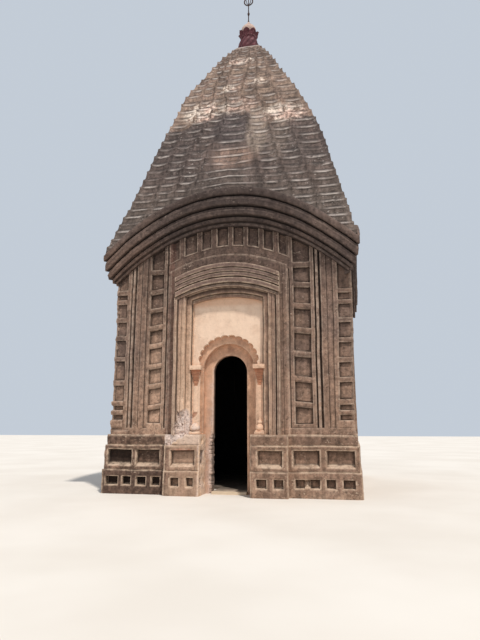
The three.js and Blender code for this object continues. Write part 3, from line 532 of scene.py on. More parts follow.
M_WALL = wall_material("wall plaster", (124, 102, 90), (84, 68, 62), (188, 166, 148), (136, 110, 94))
M_FRAME = wall_material("bay plaster", (160, 130, 112), (112, 90, 78), (212, 188, 164), (176, 142, 118), kind="frame", rug=.62)
M_CORN = wall_material("cornice plaster", (92, 78, 72), (66, 54, 51), (156, 138, 126), (100, 83, 75), kind="cornice", rug=.9)
M_BASE = wall_material("plinth plaster", (140, 113, 97), (98, 77, 64), (208, 182, 158), (150, 120, 100), kind="plinth")
M_DOOR = wall_material("door plaster", (200, 158, 130), (150, 112, 92), (228, 200, 174), (208, 164, 134), kind="door", rug=.38)
M_CREAM = wall_material("cream limewash", (230, 201, 177), (208, 176, 152), (240, 218, 196), (228, 199, 174), kind="cream", rug=.10)
# near-black plaster: painted shade for the unlit passage and interior
M_INTERIOR_SHADE = wall_material("interior shade plaster", (34, 31, 30), (20, 18, 18), (60, 55, 52), (28, 25, 24), kind="soot", rug=.6)
M_TOWER = wall_material("tower plaster", (99, 87, 82), (70, 61, 58), (204, 192, 184), (103, 88, 82), kind="tower")
M_FLOOR = wall_material("cement floor", (170, 152, 136), (120, 104, 92), (206, 190, 172), (160, 140, 122), kind="floor", rug=.7)
M_RED = wall_material("maroon paint", (98, 60, 64), (52, 28, 32), (188, 150, 150), (94, 52, 58), kind="red", rug=.8)
M_CAP = wall_material("cream paint", (206, 178, 164), (150, 122, 110), (228, 208, 194), (190, 162, 148), kind="cap", rug=.5)
M_IRON = wall_material("rusted iron", (52, 42, 40), (30, 26, 26), (96, 70, 58), (70, 46, 38), kind="iron", rug=.6)

by_slot = {"plinth_plaster": M_BASE, "floor_cement": M_FLOOR, "wall_plaster": M_WALL, "door_plaster": M_DOOR,
           "cream_plaster": M_CREAM, "tower_plaster": M_TOWER, "kalasha_red": M_RED, "kalasha_cream": M_CAP, "iron": M_IRON}
slot_of = {p["node"]: p["material_slot"] for p in frame["record"]["subparts"]}
for nm, o in NODES.items():
    o.data.materials.clear()
    o.data.materials.append(by_slot[slot_of[nm]])


# ================================================================= geometry
# ---- measurements of the tower, in metres: top of each course, mean half-width there, lean to the right
COURSES = np.array([
    [4610, 2394, 4], [4775, 2348, 10], [4965, 2294, 22], [5120, 2253, 33], [5285, 2206, 44], [5450, 2156, 54],
    [5650, 2098, 58], [5830, 2052, 58], [6010, 2002, 57], [6190, 1955, 59], [6400, 1898, 64], [6585, 1849, 70],
    [6780, 1804, 75], [6980, 1753, 77], [7185, 1691, 76], [7400, 1626, 71], [7620, 1552, 61], [7830, 1476, 46],
    [8045, 1409, 28], [8275, 1332, 10], [8510, 1257, -8], [8735, 1157, -18], [8930, 1063, -20], [9120, 969, -16],
    [9350, 866, -7], [9550, 776, 3], [9745, 678, 13], [9940, 589, 21], [10110, 489, 25], [10250, 391, 26]]) / 1000.0
TOWER_START = 4.40
SIDE_DROP = 0.27            # the cornice of the other sides is flatter


def lean_x(z):
    return np.interp(z, [4.45] + list(COURSES[:, 0]), [0.0] + list(COURSES[:, 2])) + .012 * smooth(5.6, 6.2, z) * (1 - smooth(9.5, 10.1, z))


def corn_z(zc, h, x):
    return zc - h * (x / 2.4) ** 2


def vault(z):
    return np.interp(z, [4.4, 6.78, 8.735, 9.3, 10.3], [1.25, 0.96, 0.42, 0.16, 0.10])


# edges of the seven ribs as shares of the half-width, by height; the ribs swerve a little to the left
RIBS = np.array([(5.60, -.78, -.59, -.408, .310, .545, .76), (6.70, -.78, -.57, -.343, .205, .430, .69), (7.20, -.75, -.49, -.235, .141, .394, .66),
                 (7.60, -.70, -.43, -.215, .118, .395, .65), (8.00, -.67, -.44, -.180, .092, .362, .66), (8.40, -.68, -.46, -.250, .040, .310, .62),
                 (8.90, -.73, -.52, -.290, .110, .371, .67), (9.60, -.75, -.55, -.325, .200, .430, .70)])


def rib_edges(z):
    return [float(np.interp(z, RIBS[:, 0], RIBS[:, k])) for k in range(1, 7)]


def tower_face(side, ncol=11):
    """One face of the tower: stepped courses in seven ribs, each course of each rib a sagging lip over a hollowed face."""
    bays = 7
    # cross-section of one course: height share, share of the slope left, lip, pale edge (wear and painted highlight),
    # dark (dirt and painted shade)
    section = [(0.150, 1.0, 0, .05, 1.0), (0.22, .86, 0, 0, .65), (0.36, .55, 0, 0, .12), (0.58, .30, .10, 0, 0), (0.70, .16, .30, .05, .15),
               (0.79, .08, .50, .15, .60), (0.845, .05, 1, .9, 0), (0.915, .02, 1.05, 1, 0), (0.975, .0, .60, .55, 0)]
    grid, wear_and_highlight, dirt_and_shade = [], [], []
    below = TOWER_START
    for ci, (zt, w, _) in enumerate(COURSES):
        h = zt - below
        nxt = COURSES[ci + 1, 1] if ci + 1 < len(COURSES) else w - 0.09
        fade = min(max((9.6 - zt) / 1.6, 0.3), 1)
        edges = [-1] + rib_edges((below + zt) / 2) + [1]
        proud = [0, .016, .034, .054, .034, .016, 0]
        lo = smooth(5.4, 8.2, zt)
        step = w - nxt
        for (hs, slope, lip, wv, cv) in section + [(1.0, None, 0, .1, .8)]:
            row, wr, cr = [], [], []
            for b in range(bays):
                s = np.linspace(-1, 1, ncol)
                xa, xb = edges[b] * w, edges[b + 1] * w
                # the rib's edges wander a little from course to course
                ja = 0.012 * rand(ci * 16 + b + 100 * side, 5) if b > 0 else 0.0
                jb = 0.012 * rand(ci * 16 + b + 1 + 100 * side, 5) if b < 6 else 0.0
                xa, xb = xa + ja * fade, xb + jb * fade
                gap = 0.004 if 0 < b else 0.0
                gap2 = 0.004 if b < 6 else 0.0
                x = xa + gap + (xb - xa - gap - gap2) * (s + 1) / 2
                width = xb - xa
                key = ci * 16 + b + 1000 * side
                present = clip01((rand(key, 16) + 1.0) * 1.6)
                mid = 0.08 * rand(key, 17)
                mouth = 1 - smooth(.44, .80, np.abs(s - mid))          # the lip fades out towards the rib's edges
                dish = (0.026 + 0.016 * lo) * (1 + 0.35 * rand(key, 11)) * min(1, width / 0.30)
                ridge = 0.0
                if b == 3:
                    # near the cornice the middle rib is bent up about a ridge
                    r = 1 - smooth(5.95, 6.5, zt)
                    ridge = 0.060 * r
                    dish *= (1 - r)
                if b in (0, 6):
                    dish *= 0.25 + 0.75 * smooth(5.2, 6.6, zt)
                sag = -dish * (1 - s * s) + ridge * (1 - np.abs(s)) * 1.2 - ridge * 0.4
                sag = sag + 0.007 * rand(key, 13) + 0.006 * s * rand(key, 14)
                hollow = (0.005 + 0.009 * lo) * (1 - s * s)
                if slope is None:
                    # the ledge on top slopes, so that rain runs off
                    z = np.full(ncol, zt + 0.024) + 0.55 * sag
                    off = proud[b] * fade - step * .70 + 0 * s
                else:
                    lift = 0.15 if hs < 0.1 else min(1.0, hs + 0.1)
                    z = below + h * hs + sag * lift
                    calm = 1 - .55 * smooth(7.9, 8.6, zt)
                    off = proud[b] * fade + step * (.50 * slope - .25) - hollow * calm + (.004 + .015 * mouth * present * calm) * lip
                # corner of the tower: keep both faces' ends on the diagonal
                row.append(np.stack([x, -(w + off), z], -1))
                # pale lips from wear and painted highlight; dark feet, lip undersides and rib grooves from dirt and
                # painted shade
                wr.append(np.clip(wv * (0.05 + 0.95 * mouth * present) * (0.75 + 0.25 * rand(key, 15)), 0, 1))
                cr.append(np.clip(cv * (.35 + .65 * mouth) + 0.45 * (np.abs(s) > 0.97) * (0 < b < 6), 0, 1))
            P = np.concatenate(row)
            # ends: on the diagonal
            for end in (0, -1):
                sgn = -1 if end == 0 else 1
                P[end, 0] = sgn * (-P[end, 1])
            n = len(P)
            inner = np.abs(P[1:-1, 0]) > -P[1:-1, 1]
            P[1:-1, 0] = np.where(inner, np.sign(P[1:-1, 0]) * (-P[1:-1, 1]) * 0.999, P[1:-1, 0])
            grid.append(P)
            wear_and_highlight.append(np.concatenate(wr))
            dirt_and_shade.append(np.concatenate(cr))
        below = zt
    P = np.array(grid)
    W, C = np.array(wear_and_highlight), np.array(dirt_and_shade)
    # below the cornice's top the courses stop inside the wall
    drop = SIDE_DROP if side else 0.0
    hid = P[..., 2] < corn_z(5.62 - drop, 1.141 - drop, P[..., 0]) - 0.055
    hid[0, :] = True
    P[..., 1] = np.where(hid, np.maximum(P[..., 1], -2.05), P[..., 1])
    P[..., 0] = np.where(hid, np.clip(P[..., 0], P[..., 1], -P[..., 1]), P[..., 0])
    Pw = turn(P, side)
    # chips out of the lips, waviness of the old plaster
    chip = clip01((fbm(Pw, 5.5, 3, 41) - 0.16) / 0.35) * (W > 0.25)
    rough = fbm(Pw, 14, 3, 43) + .6 * fbm(Pw, 34, 2, 46)
    out = np.zeros_like(Pw)
    nrm = turn(np.array([[[0.0, -1.0, 0.0]]]) + 0 * P, side)
    corner = np.zeros(P.shape[:2], bool)
    corner[:, 0] = corner[:, -1] = True
    both = turn(np.stack([np.sign(P[..., 0]), -np.ones(P.shape[:2]), 0 * P[..., 0]], -1), side)
    nrm = np.where(corner[..., None], both, nrm)
    lumpy = fbm(Pw, 9, 3, 47) * smooth(.05, .35, fbm(Pw, 1.3, 2, 48) + .15)
    out = Pw - nrm * (0.016 * chip)[..., None] + nrm * (0.006 * rough + .012 * lumpy)[..., None]
    out[..., 2] -= 0.020 * chip
    out = out + wobble(Pw, 0.009, 1.9, 44) + wobble(Pw, 0.005, 6.5, 45)
    out[..., 0] += lean_x(Pw[..., 2])
    W = clip01(W - 0.8 * chip)
    b = Build()
    I = b.grid(out, W, C)
    # inner faces: mitre planes, back, bottom and top
    z = P[:, 0, 2]
    v = vault(z)
    L = turn(np.stack([-v, -v, z], -1), side)
    R = turn(np.stack([v, -v, z], -1), side)
    il = b.add(L) + np.arange(len(z))
    ir = b.add(R) + np.arange(len(z))
    b.quads(I[1:, 0], il[1:], il[:-1], I[:-1, 0])
    b.quads(I[:-1, -1], ir[:-1], ir[1:], I[1:, -1])
    b.quads(il[:-1], il[1:], ir[1:], ir[:-1])
    b.ngon(list(I[0, ::-1]) + [il[0], ir[0]])
    b.ngon(list(I[-1, :]) + [ir[-1], il[-1]])
    return b


for k, nm in enumerate(("front", "right", "back", "left")):
    o = tower_face(k, 11 if k == 0 else 9).make("tower_" + nm, M_TOWER, 32)
    place(o, "tower_plaster", "tower_lower_" + nm, "tower_middle_" + nm, *(("tower_crown",) if k == 0 else ()))


# ---- top slab under the bulb: a worn square block with rounded corners
def block_ring(half_by_z, n, seed, amp=0.006):
    """A closed, worn square block from (z, half-width) rows."""
    rows = []
    for z, hw in half_by_z:
        ring = []
        for k in range(4):
            t = np.linspace(-1, 1, n, endpoint=False)
            q = np.stack([t * hw, -hw + 0 * t, z + 0 * t], -1)
            # corners rounded off
            r = np.maximum(np.abs(t) - 0.9, 0) / 0.1
            q[:, 1] += 0.018 * r * r
            ring.append(turn(q, k))
        rows.append(np.concatenate(ring))
    P = np.array(rows)
    P = P + wobble(P, amp, 9.0, seed) + wobble(P, amp * 0.6, 21.0, seed + 5)
    P[..., 0] += .024
    b = Build()
    zz = P[..., 2]
    w = 0 * zz
    w[-3:-1] = 0.9
    I = b.grid(P, w, 0 * zz, wrap=True)
    b.ngon(list(I[0, ::-1]))
    b.ngon(list(I[-1, :]))
    return b


slab_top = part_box("tower_cap_slab")[1].z
o = block_ring([(10.235, .36), (10.25, .345), (10.29, .335), (10.30, .305), (10.325, .302), (slab_top - .006, .298), (slab_top, .285)], 12, 61).make("tower_top_slab", M_TOWER, 40)
place(o, "tower_plaster", "tower_cap_slab")


# ---- curved cornice: five mouldings swept along the curve, mitred at the corners
# profile rows: (crown height, rise to the corners, distance of the face, pale edge: wear and painted highlight, dark:
# dirt and painted shade in the undercuts)
CORN = [
    (5.665, 1.141, 2.060, 0, .3), (5.655, 1.141, 2.200, 0, .1), (5.640, 1.141, 2.330, .1, 0), (5.625, 1.141, 2.415, .25, 0), (5.612, 1.141, 2.436, .4, 0),
    (5.590, 1.141, 2.443, .2, 0), (5.545, 1.141, 2.444, .1, 0), (5.488, 1.141, 2.441, .25, 0), (5.472, 1.141, 2.430, .2, .3), (5.466, 1.141, 2.392, 0, 1), (5.462, 1.142, 2.362, 0, 1),
    (5.452, 1.143, 2.362, 0, 1), (5.446, 1.144, 2.396, .1, .5), (5.436, 1.145, 2.408, .35, .1), (5.410, 1.150, 2.411, .12, 0), (5.388, 1.152, 2.417, .40, 0), (5.370, 1.154, 2.413, .1, .3), (5.330, 1.158, 2.411, .05, 0), (5.292, 1.162, 2.410, .2, 0), (5.276, 1.165, 2.400, .15, .4),
    (5.270, 1.165, 2.345, 0, 1), (5.264, 1.166, 2.312, 0, 1), (5.252, 1.166, 2.312, 0, 1),
    (5.246, 1.166, 2.348, 0, .6), (5.236, 1.168, 2.360, .35, .1), (5.200, 1.172, 2.364, .1, 0), (5.182, 1.173, 2.369, .4, 0), (5.165, 1.174, 2.366, .1, .3), (5.135, 1.176, 2.364, .05, 0), (5.112, 1.178, 2.362, .2, 0), (5.098, 1.180, 2.352, .15, .5),
    (5.092, 1.180, 2.290, 0, 1), (5.086, 1.180, 2.262, 0, 1), (5.074, 1.180, 2.262, 0, 1),
    (5.068, 1.180, 2.292, 0, .6), (5.056, 1.180, 2.301, .35, 0), (5.020, 1.180, 2.301, .15, 0), (4.992, 1.180, 2.296, .2, .3),
    (4.984, 1.180, 2.256, 0, 1), (4.974, 1.180, 2.236, 0, 1),
    (4.962, 1.180, 2.243, .4, .1), (4.930, 1.180, 2.243, .5, 0), (4.910, 1.180, 2.236, .1, .4), (4.902, 1.180, 2.204, 0, 1), (4.894, 1.180, 2.150, 0, 1)]


def cornice_side(side, ncol):
    c = np.array(CORN)
    t = np.linspace(-1, 1, ncol)
    Y = c[:, 2][:, None] + 0 * t[None, :]
    X = Y * t[None, :]
    drop = SIDE_DROP if side else 0.0
    Z = c[:, 0][:, None] - drop - (c[:, 1][:, None] - drop) * (X / 2.4) ** 2
    P = np.stack([X, -Y, Z], -1)
    W = c[:, 3][:, None] + 0 * X
    C = c[:, 4][:, None] + 0 * X
    Pw = turn(P, side)
    n1, n2 = fbm(Pw, 4.2, 3, 71), fbm(Pw, 15, 3, 72) + .9 * fbm(Pw, 33, 2, 76)
    chip = clip01((fbm(Pw, 6.5, 3, 73) - 0.22) / 0.3) * (W > .3)
    nrm = turn(np.stack([np.where(np.abs(t)[None, :] > .999, np.sign(X), 0 * X), -1 + 0 * X, 0 * X], -1), side)
    out = Pw + nrm * (0.008 * n1 + 0.006 * n2 - 0.016 * chip)[..., None]
    out = out + wobble(Pw, 0.008, 1.6, 74) + wobble(Pw, 0.003, 7.0, 75)
    fore = smooth(1.7, 2.4, -Pw[..., 1])
    out[..., 0] += .024 * fore * smooth(1.7, 2.4, -Pw[..., 0]) - .016 * fore * smooth(1.7, 2.4, Pw[..., 0])
    b = Build()
    I = b.grid(out, clip01(W * (0.75 + .5 * n1) - .8 * chip), C, flip=True)
    # closed at the back, inside the wall
    yb = 2.02
    L = turn(np.stack([-yb + 0 * c[:, 0], -yb + 0 * c[:, 0], P[:, 0, 2]], -1), side)
    R = turn(np.stack([yb + 0 * c[:, 0], -yb + 0 * c[:, 0], P[:, -1, 2]], -1), side)
    il, ir = b.add(L) + np.arange(len(c)), b.add(R) + np.arange(len(c))
    b.quads(I[:-1, 0], il[:-1], il[1:], I[1:, 0])
    b.quads(I[1:, -1], ir[1:], ir[:-1], I[:-1, -1])
    # back: top and bottom edges follow the curve too
    top = P[0, 1:-1].copy()
    top[:, 0] *= yb / CORN[0][2]
    top[:, 1] = -yb
    bot = P[-1, 1:-1].copy()
    bot[:, 0] *= yb / CORN[-1][2]
    bot[:, 1] = -yb
    it = np.concatenate([[il[0]], b.add(turn(top, side)) + np.arange(ncol - 2), [ir[0]]])
    ib = np.concatenate([[il[-1]], b.add(turn(bot, side)) + np.arange(ncol - 2), [ir[-1]]])
    b.quads(I[0, :-1], I[0, 1:], it[1:], it[:-1])
    b.quads(I[-1, 1:], I[-1, :-1], ib[:-1], ib[1:])
    b.quads(it[2:-1], ib[2:-1], ib[1:-2], it[1:-2])
    b.ngon([it[1], ib[1]] + list(il[::-1]))
    b.ngon(list(ir) + [ib[-2], it[-2]])
    return b


for k, nm in enumerate(("front", "right", "back", "left")):
    place(cornice_side(k, 241 if k == 0 else 91).make("cornice_curve_" + nm, M_CORN, 40), "wall_plaster", "cornice_" + nm)


# ---- reliefs: a face given by its outward offset over (x, z)
def loop_of(mask):
    """Boundary of the kept cells as one closed loop of grid vertices, anticlockwise seen from outside."""
    nr, nc = mask.shape
    nxt = {}
    m = np.zeros((nr + 2, nc + 2), bool)
    m[1:-1, 1:-1] = mask
    for i in range(nr):
        for j in range(nc):
            if not mask[i, j]:
                continue
            if not m[i, j + 1]:
                nxt.setdefault((i, j), []).append((i, j + 1))
            if not m[i + 1, j + 2]:
                nxt.setdefault((i, j + 1), []).append((i + 1, j + 1))
            if not m[i + 2, j + 1]:
                nxt.setdefault((i + 1, j + 1), []).append((i + 1, j))
            if not m[i + 1, j]:
                nxt.setdefault((i + 1, j), []).append((i, j))
    start = next(iter(nxt))
    out, cur = [], start
    while True:
        out.append(cur)
        cur = nxt[cur].pop()
        if cur == start:
            break
    return out


def relief(name, mat, side, xs, zs, off, ref, back, seed, mask=None, corner=None, shear=None, r=0.024, chips=0.012,
           rough=0.0035, wave=0.007, mitre=(False, False), back_x=None, angle=38, gain=0.011, pre=None, ends=None, lime=None, under_ledge_darkening=.85):
    """A closed solid: the relief in front, flat behind at y = -back."""
    X, Z = np.meshgrid(xs, zs)
    O, conv = around(off, X, Z, r, ends)
    W, C = clip01(conv / gain), clip01(-conv / gain)
    # dirt and painted shade under ledges; paler on whatever faces up, dust and painted highlight
    under = .60 * clip01((off(X, Z + .028) - O) / .030) + .35 * clip01((off(X, Z + .060) - O) / .030)
    C = np.maximum(C, under_ledge_darkening * under)
    W = np.maximum(W, .85 * clip01((off(X, Z - .007) - off(X, Z + .007)) / .016))
    if corner is not None:
        # the ends follow the neighbouring face: corner(z) is the offset there
        x0, lim = corner[0], corner[1]
        oc = off(np.full_like(Z, lim if xs[-1] > 0 and mitre[1] else -lim), Z)
        scale = (lim + oc - x0) / (lim - x0)
        XX = np.where(X > x0, x0 + (X - x0) * scale, X) if mitre[1] else X
        if mitre[0]:
            oc2 = off(np.full_like(Z, -lim), Z)
            s2 = (lim + oc2 - x0) / (lim - x0)
            XX = np.where(X < -x0, -x0 + (X + x0) * s2, XX)
    else:
        XX = X
    P = np.stack([XX, -(ref + O), Z], -1)
    if shear is not None:
        P = shear(P, X, Z)
    Pw = turn(P, side)
    n1 = fbm(Pw, 3.1, 3, seed)
    n2 = fbm(Pw, 17, 3, seed + 1)
    ero = W * (0.30 + 0.70 * clip01((fbm(Pw, 8.5, 3, seed + 2) + 0.05) / 0.35))
    d = rough * n2 + 0.004 * n1 - chips * ero
    nx = np.zeros_like(X)
    if mitre[1]:
        nx[:, -1] = 1
    if mitre[0]:
        nx[:, 0] = -1
    nrm = turn(np.stack([nx, -np.ones_like(X), 0 * X], -1), side)
    out = Pw + nrm * d[..., None] + wobble(Pw, wave, 1.7, seed + 3) + wobble(Pw, 0.0035, 7.5, seed + 4)
    out[..., 2] = np.where(Z <= 1e-6, 0.0, np.maximum(out[..., 2], 0.0))
    if pre is not None:
        out = pre(out, P, Pw)
    b = Build()
    m = np.ones((len(zs) - 1, len(xs) - 1), bool) if mask is None else mask((X[:-1, :-1] + X[1:, 1:]) / 2, (Z[:-1, :-1] + Z[1:, 1:]) / 2)
    I = b.grid(out, W, C, mask=m, lime=None if lime is None else lime(X, Z, Pw))
    loop = loop_of(m)
    ii = np.array([q[0] for q in loop])
    jj = np.array([q[1] for q in loop])
    px, pz = P[ii, jj, 0], P[ii, jj, 2]
    bx = px if back_x is None else back_x(px)
    B = turn(np.stack([bx, -back + 0 * px, pz], -1), side)
    ib = b.add(B) + np.arange(len(loop))
    io = I[ii, jj]
    b.quads(io, ib, np.roll(ib, -1), np.roll(io, -1))
    b.ngon(list(ib[::-1]))
    return b.make(name, mat, angle)


def inside(X, Z, r):
    return (X > r[0]) & (X < r[1]) & (Z > r[2]) & (Z < r[3])


def sunk(X, Z, r, depth, i0=.014, i1=.014, j0=.010, j1=.006):
    """Depth of a recess whose sides slope in by i0, i1 (left, right), j0, j1 (below, above)."""
    a = np.minimum(np.minimum((X - r[0]) / i0, (r[1] - X) / i1), np.minimum((Z - r[2]) / j0, (r[3] - Z) / j1))
    return depth * clip01(a)


# ---- walls
COL_IN, COL_OUT = 1.235, 1.517
COL = {-1: (1.255, 1.512), 1: (1.217, 1.520)}
LEDGES = {-1: [(1.480, 1.571), (1.861, 1.956), (2.227, 2.324), (2.614, 2.713), (2.957, 3.057), (3.306, 3.393), (3.659, 3.748), (4.042, 4.134)],
          1: [(1.490, 1.588), (1.924, 2.029), (2.372, 2.478), (2.801, 2.906), (3.247, 3.353), (3.649, 3.750), (4.027, 4.135)]}
SILL = {-1: 1.234, 1: 1.214}
STRIP = {-1: (1.985, 9.0), 1: (1.967, 2.184)}
STRIP_LEDGES = {-1: [(1.546, 1.638), (1.926, 2.025), (2.380, 2.464), (2.775, 2.864), (3.127, 3.221), (3.476, 3.568), (3.656, 3.758)],
                1: [(1.539, 1.632), (1.921, 2.012), (2.261, 2.355), (2.616, 2.704), (2.971, 3.061), (3.306, 3.386), (3.508, 3.587)]}
STRIP_ROLLS = {-1: [(1.145, 1.295), (1.381, 1.473), (1.546, 1.638)], 1: [(1.130, 1.274), (1.364, 1.448)]}
# upright mouldings: (from, to, offset), distances from the middle of the wall
BANDS = {-1: [(1.163, 1.193, -.040), (1.515, 1.583, -.012), (1.583, 1.592, -.022), (1.690, 1.702, -.014), (1.592, 1.690, .004),
              (1.807, 1.845, -.055), (1.845, 1.887, .002), (1.887, 1.911, -.032), (1.911, 1.985, .004)],
         1: [(1.133, 1.150, -.018), (1.520, 1.588, .004), (1.588, 1.616, -.048), (1.616, 1.664, .004), (1.664, 1.702, -.058),
             (1.798, 1.808, -.016), (1.808, 1.885, -.006), (1.885, 1.895, -.014), (1.895, 1.967, .006)]}
FRIEZE = [(-1.135, -.958), (-.851, -.614), (-.516, -.330), (-.213, -.000), (.097, .298), (.380, .582), (.680, .857), (.965, 1.137)]
PANEL_X = 1.118


def wall_off(X, Z):
    O = np.zeros_like(X)
    A = np.abs(X)
    for sd in (-1, 1):
        half = X * sd > 0
        for a, b, o in BANDS[sd]:
            O = np.where(half & (A > a) & (A < b) & (Z > 1.145), o, O)
        # column of sunk panels with its ledges
        a, b = COL[sd]
        col = half & (A > a) & (A < b)
        O = np.where(col & (Z > SILL[sd]), -.066, O)
        for lo, hi in LEDGES[sd]:
            O = np.where(col & (Z > lo) & (Z < hi), -.010 - .012 * clip01((lo + .030 - Z) / .03), O)
        # corner strip
        a, b = STRIP[sd]
        st = half & (A > a) & (A < b)
        O = np.where(st & (Z > 1.145), -.034 if sd < 0 else -.046, O)
        for lo, hi in STRIP_LEDGES[sd]:
            O = np.where(st & (Z > lo) & (Z < hi), .008 if sd < 0 else -.004, O)
        for lo, hi in STRIP_ROLLS[sd]:
            k = clip01((Z - lo) / (hi - lo)) * 2 - 1
            O = np.where(st & (Z > lo) & (Z < hi), (.030 if sd < 0 else .012) * np.sqrt(np.maximum(0, 1 - k ** 4)) - .004, O)
    # low base band
    O = np.where((Z < 1.143) & (A > 1.155) & ((X > 0) & ((A < 1.664) | (A > 1.93))), .014, O)
    O = np.where((Z < 1.100) & (X < 0) & (A > 1.86), .012, O)
    return O


def wall_shear(P, X, Z):
    # the ledges of the panel columns drop outwards
    A = np.abs(X)
    t = clip01((A - COL_IN) / (COL_OUT - COL_IN))
    fade = smooth(1.30, 1.50, Z) * (1 - smooth(3.8, 4.0, Z))
    drop = np.where(X < 0, .040, .034)
    P[..., 2] += drop * (.5 - t) * fade * smooth(1.14, 1.22, A) * (1 - smooth(1.54, 1.62, A))
    return P


def lean(out, P, Pw):
    """The wall's front right corner stands a little wide at the top."""
    k = smooth(1.72, 2.10, Pw[..., 0]) * (1 - smooth(-1.9, .4, Pw[..., 1]))
    out[..., 0] += .056 * k * (.25 + .75 * smooth(1.1, 3.2, Pw[..., 2]))
    return out


def wall_lines(sides):
    ex, ez = [s * PANEL_X for s in (-1, 1)], [1.145, 1.143, 1.100]
    for sd in sides:
        for a, b, _ in BANDS[sd]:
            ex += [sd * a, sd * b]
        ex += [sd * v for v in COL[sd] + STRIP[sd] if v < 2.2]
        for lo, hi in LEDGES[sd] + STRIP_LEDGES[sd]:
            ez += [lo, hi]
        for lo, hi in STRIP_ROLLS[sd]:
            ez += [lo, lo + .1 * (hi - lo), lo + .3 * (hi - lo), hi - .3 * (hi - lo), hi - .1 * (hi - lo), hi]
        ez.append(SILL[sd])
    return ex, ez


def wall_mask(X, Z, drop=0.0):
    return (Z < 5.20 - drop - (1.160 - drop) * (X / 2.4) ** 2) & ~((np.abs(X) < PANEL_X - .02) & (Z < (4.66 if drop else 4.90)))


def arc_shear(P, X, T, drop=0.0):
    P[..., 2] = T - .225 * X ** 2 * smooth(3.80, 4.25, T) - drop * (1 - (X / 2.4) ** 2) * smooth(3.60, 4.10, T)
    return P


def frieze_off(X, T):
    O = np.zeros_like(X)
    for x0, x1 in FRIEZE:
        O = np.where((X > x0 - .020) & (X < x1 + .020) & (T > 4.512), .007, O)
        O = O - sunk(X, T, (x0, x1, 4.535, 5.2), .058, .010, .010, .026, .008)
    return O


def surround_off(X, T):
    # a faint step beside the bay
    return np.where((X > 0) & (np.abs(X - 1.020) < .006), -.008, 0.0) + 0 * X


WX, WZ = wall_lines((-1, 1))
xs = lines([v for v in WX if abs(v) > 1.09], -2.2, 2.2, .045, .006)
zs = lines(WZ, 1.026, 5.22, .040, .006)
back_in = lambda x: np.clip(x, -2.2, 2.2) * 1.25 / 2.2
back_front = lambda x: np.where(np.abs(x) > .93, np.sign(x) * (.93 + (np.abs(x) - .93) * (.32 / 1.27)), x)
for k, nm in enumerate(("front", "right", "back", "left")):
    fine = k == 0
    if not fine:
        xs = lines([v for v in WX if abs(v) > 1.09], -2.2, 2.2, .11, .006)
        zs = lines(list(WZ) + [4.66], 1.026, 5.22, .11, .006)
    drop = 0.0 if fine else SIDE_DROP
    o = relief("wall_" + nm + "_face", M_WALL, k, xs, zs, wall_off, 2.2, 1.25, 301, mask=lambda X, Z: wall_mask(X, Z, drop), corner=(2.10, 2.2),
               mitre=(True, True), shear=wall_shear, back_x=back_in, ends=(-2.2, 2.2, -9, 99), pre=lean, r=.020, gain=.013)
    place(o, "wall_plaster", *(("wall_front_left", "wall_front_right", "wall_front_head") if fine else ("wall_" + nm,)))
    # row of small panels between the cornice and the arc over the bay
    ex = [v + d for p in FRIEZE for v, d in ((p[0], -.020), (p[0], 0), (p[0], .010), (p[1], -.010), (p[1], 0), (p[1], .020))]
    o = relief("frieze_" + nm, M_WALL, k, lines(ex, -1.160, 1.160, .03 if fine else .09, .004), lines([4.512, 4.535, 4.561], 4.30, 4.98, .030 if fine else .08, .005),
               frieze_off, 2.2, 1.9 if fine else 1.27, 310, shear=lambda P, X, T: arc_shear(P, X, T, drop), r=.020, back_x=lambda x: x * (.9 if fine else .56))
    place(o, "wall_plaster")
    # plain field round the bay, under the arc
    m = lambda X, T: ~inside(X, T, (-.90, .90, 0, 3.70))
    o = relief("bay_surround_" + nm, M_WALL, k, lines([-.90, .90, 1.014, 1.026], -PANEL_X, PANEL_X, .05 if fine else .12, .005), lines([3.70, 4.362], 1.026, 4.362, .05 if fine else .12, .005),
               surround_off, 2.222, 1.9 if fine else 1.28, 312, mask=m, shear=lambda P, X, T: arc_shear(P, X, T, drop), r=.020, ends=(-PANEL_X, PANEL_X, -9, 4.362), back_x=lambda x: np.where(np.abs(x) > .9, x * .97, x) if fine else x * .57)
    place(o, "wall_plaster")

# ---- plinth
T1, T2 = (.156, .302), (.494, .770)
WING = {-1: ([(-2.228, -1.992), (-1.901, -1.742), (-1.634, -1.459), (-1.352, -1.199)], [(-2.215, -1.746), (-1.663, -1.217)]),
        1: ([(1.199, 1.357), (1.443, 1.603), (1.706, 1.864), (1.982, 2.185)], [(1.160, 1.612), (1.720, 2.199)])}
BLK = {-1: ([(-.966, -.807), (-.678, -.549)], [(-.979, -.530)]), 1: ([(.546, .726), (.845, 1.010)], [(.565, .998)])}
PLAIN = ([(-.980, -.810), (-.640, -.470), (-.300, -.130), (.130, .300), (.470, .640), (.810, .980)], [(-.985, -.555), (-.430, -.060), (.060, .430), (.555, .985)])


def tier(Z, a, b, c):
    return np.where(Z < .415, a, np.where(Z < .848, b, c))


def plinth_fn(r1, r2, tiers, broken=False, d1=.095, d2=.080):
    def f(X, Z):
        O = tier(Z, *tiers)
        for r in r1:
            O = O - sunk(X, Z, (r[0], r[1], T1[0], T1[1]), d1)
        for r in r2:
            O = O - sunk(X, Z, (r[0], r[1], T2[0], T2[1]), d2, .030, .016, .046, .010)
        if broken:
            # the web between the first two small recesses has fallen away, a lump of mortar still hangs there
            hole = sunk(X, Z, (1.340, 1.462, .176, .300), .072, .010, .014, .016, .012)
            lump = .040 * np.exp(-((X - 1.395) / .030) ** 2 - ((Z - .205) / .042) ** 2)
            O = np.where(inside(X, Z, (1.340, 1.462, .176, .300)), np.minimum(O, -hole + lump), O)
        return O
    return f


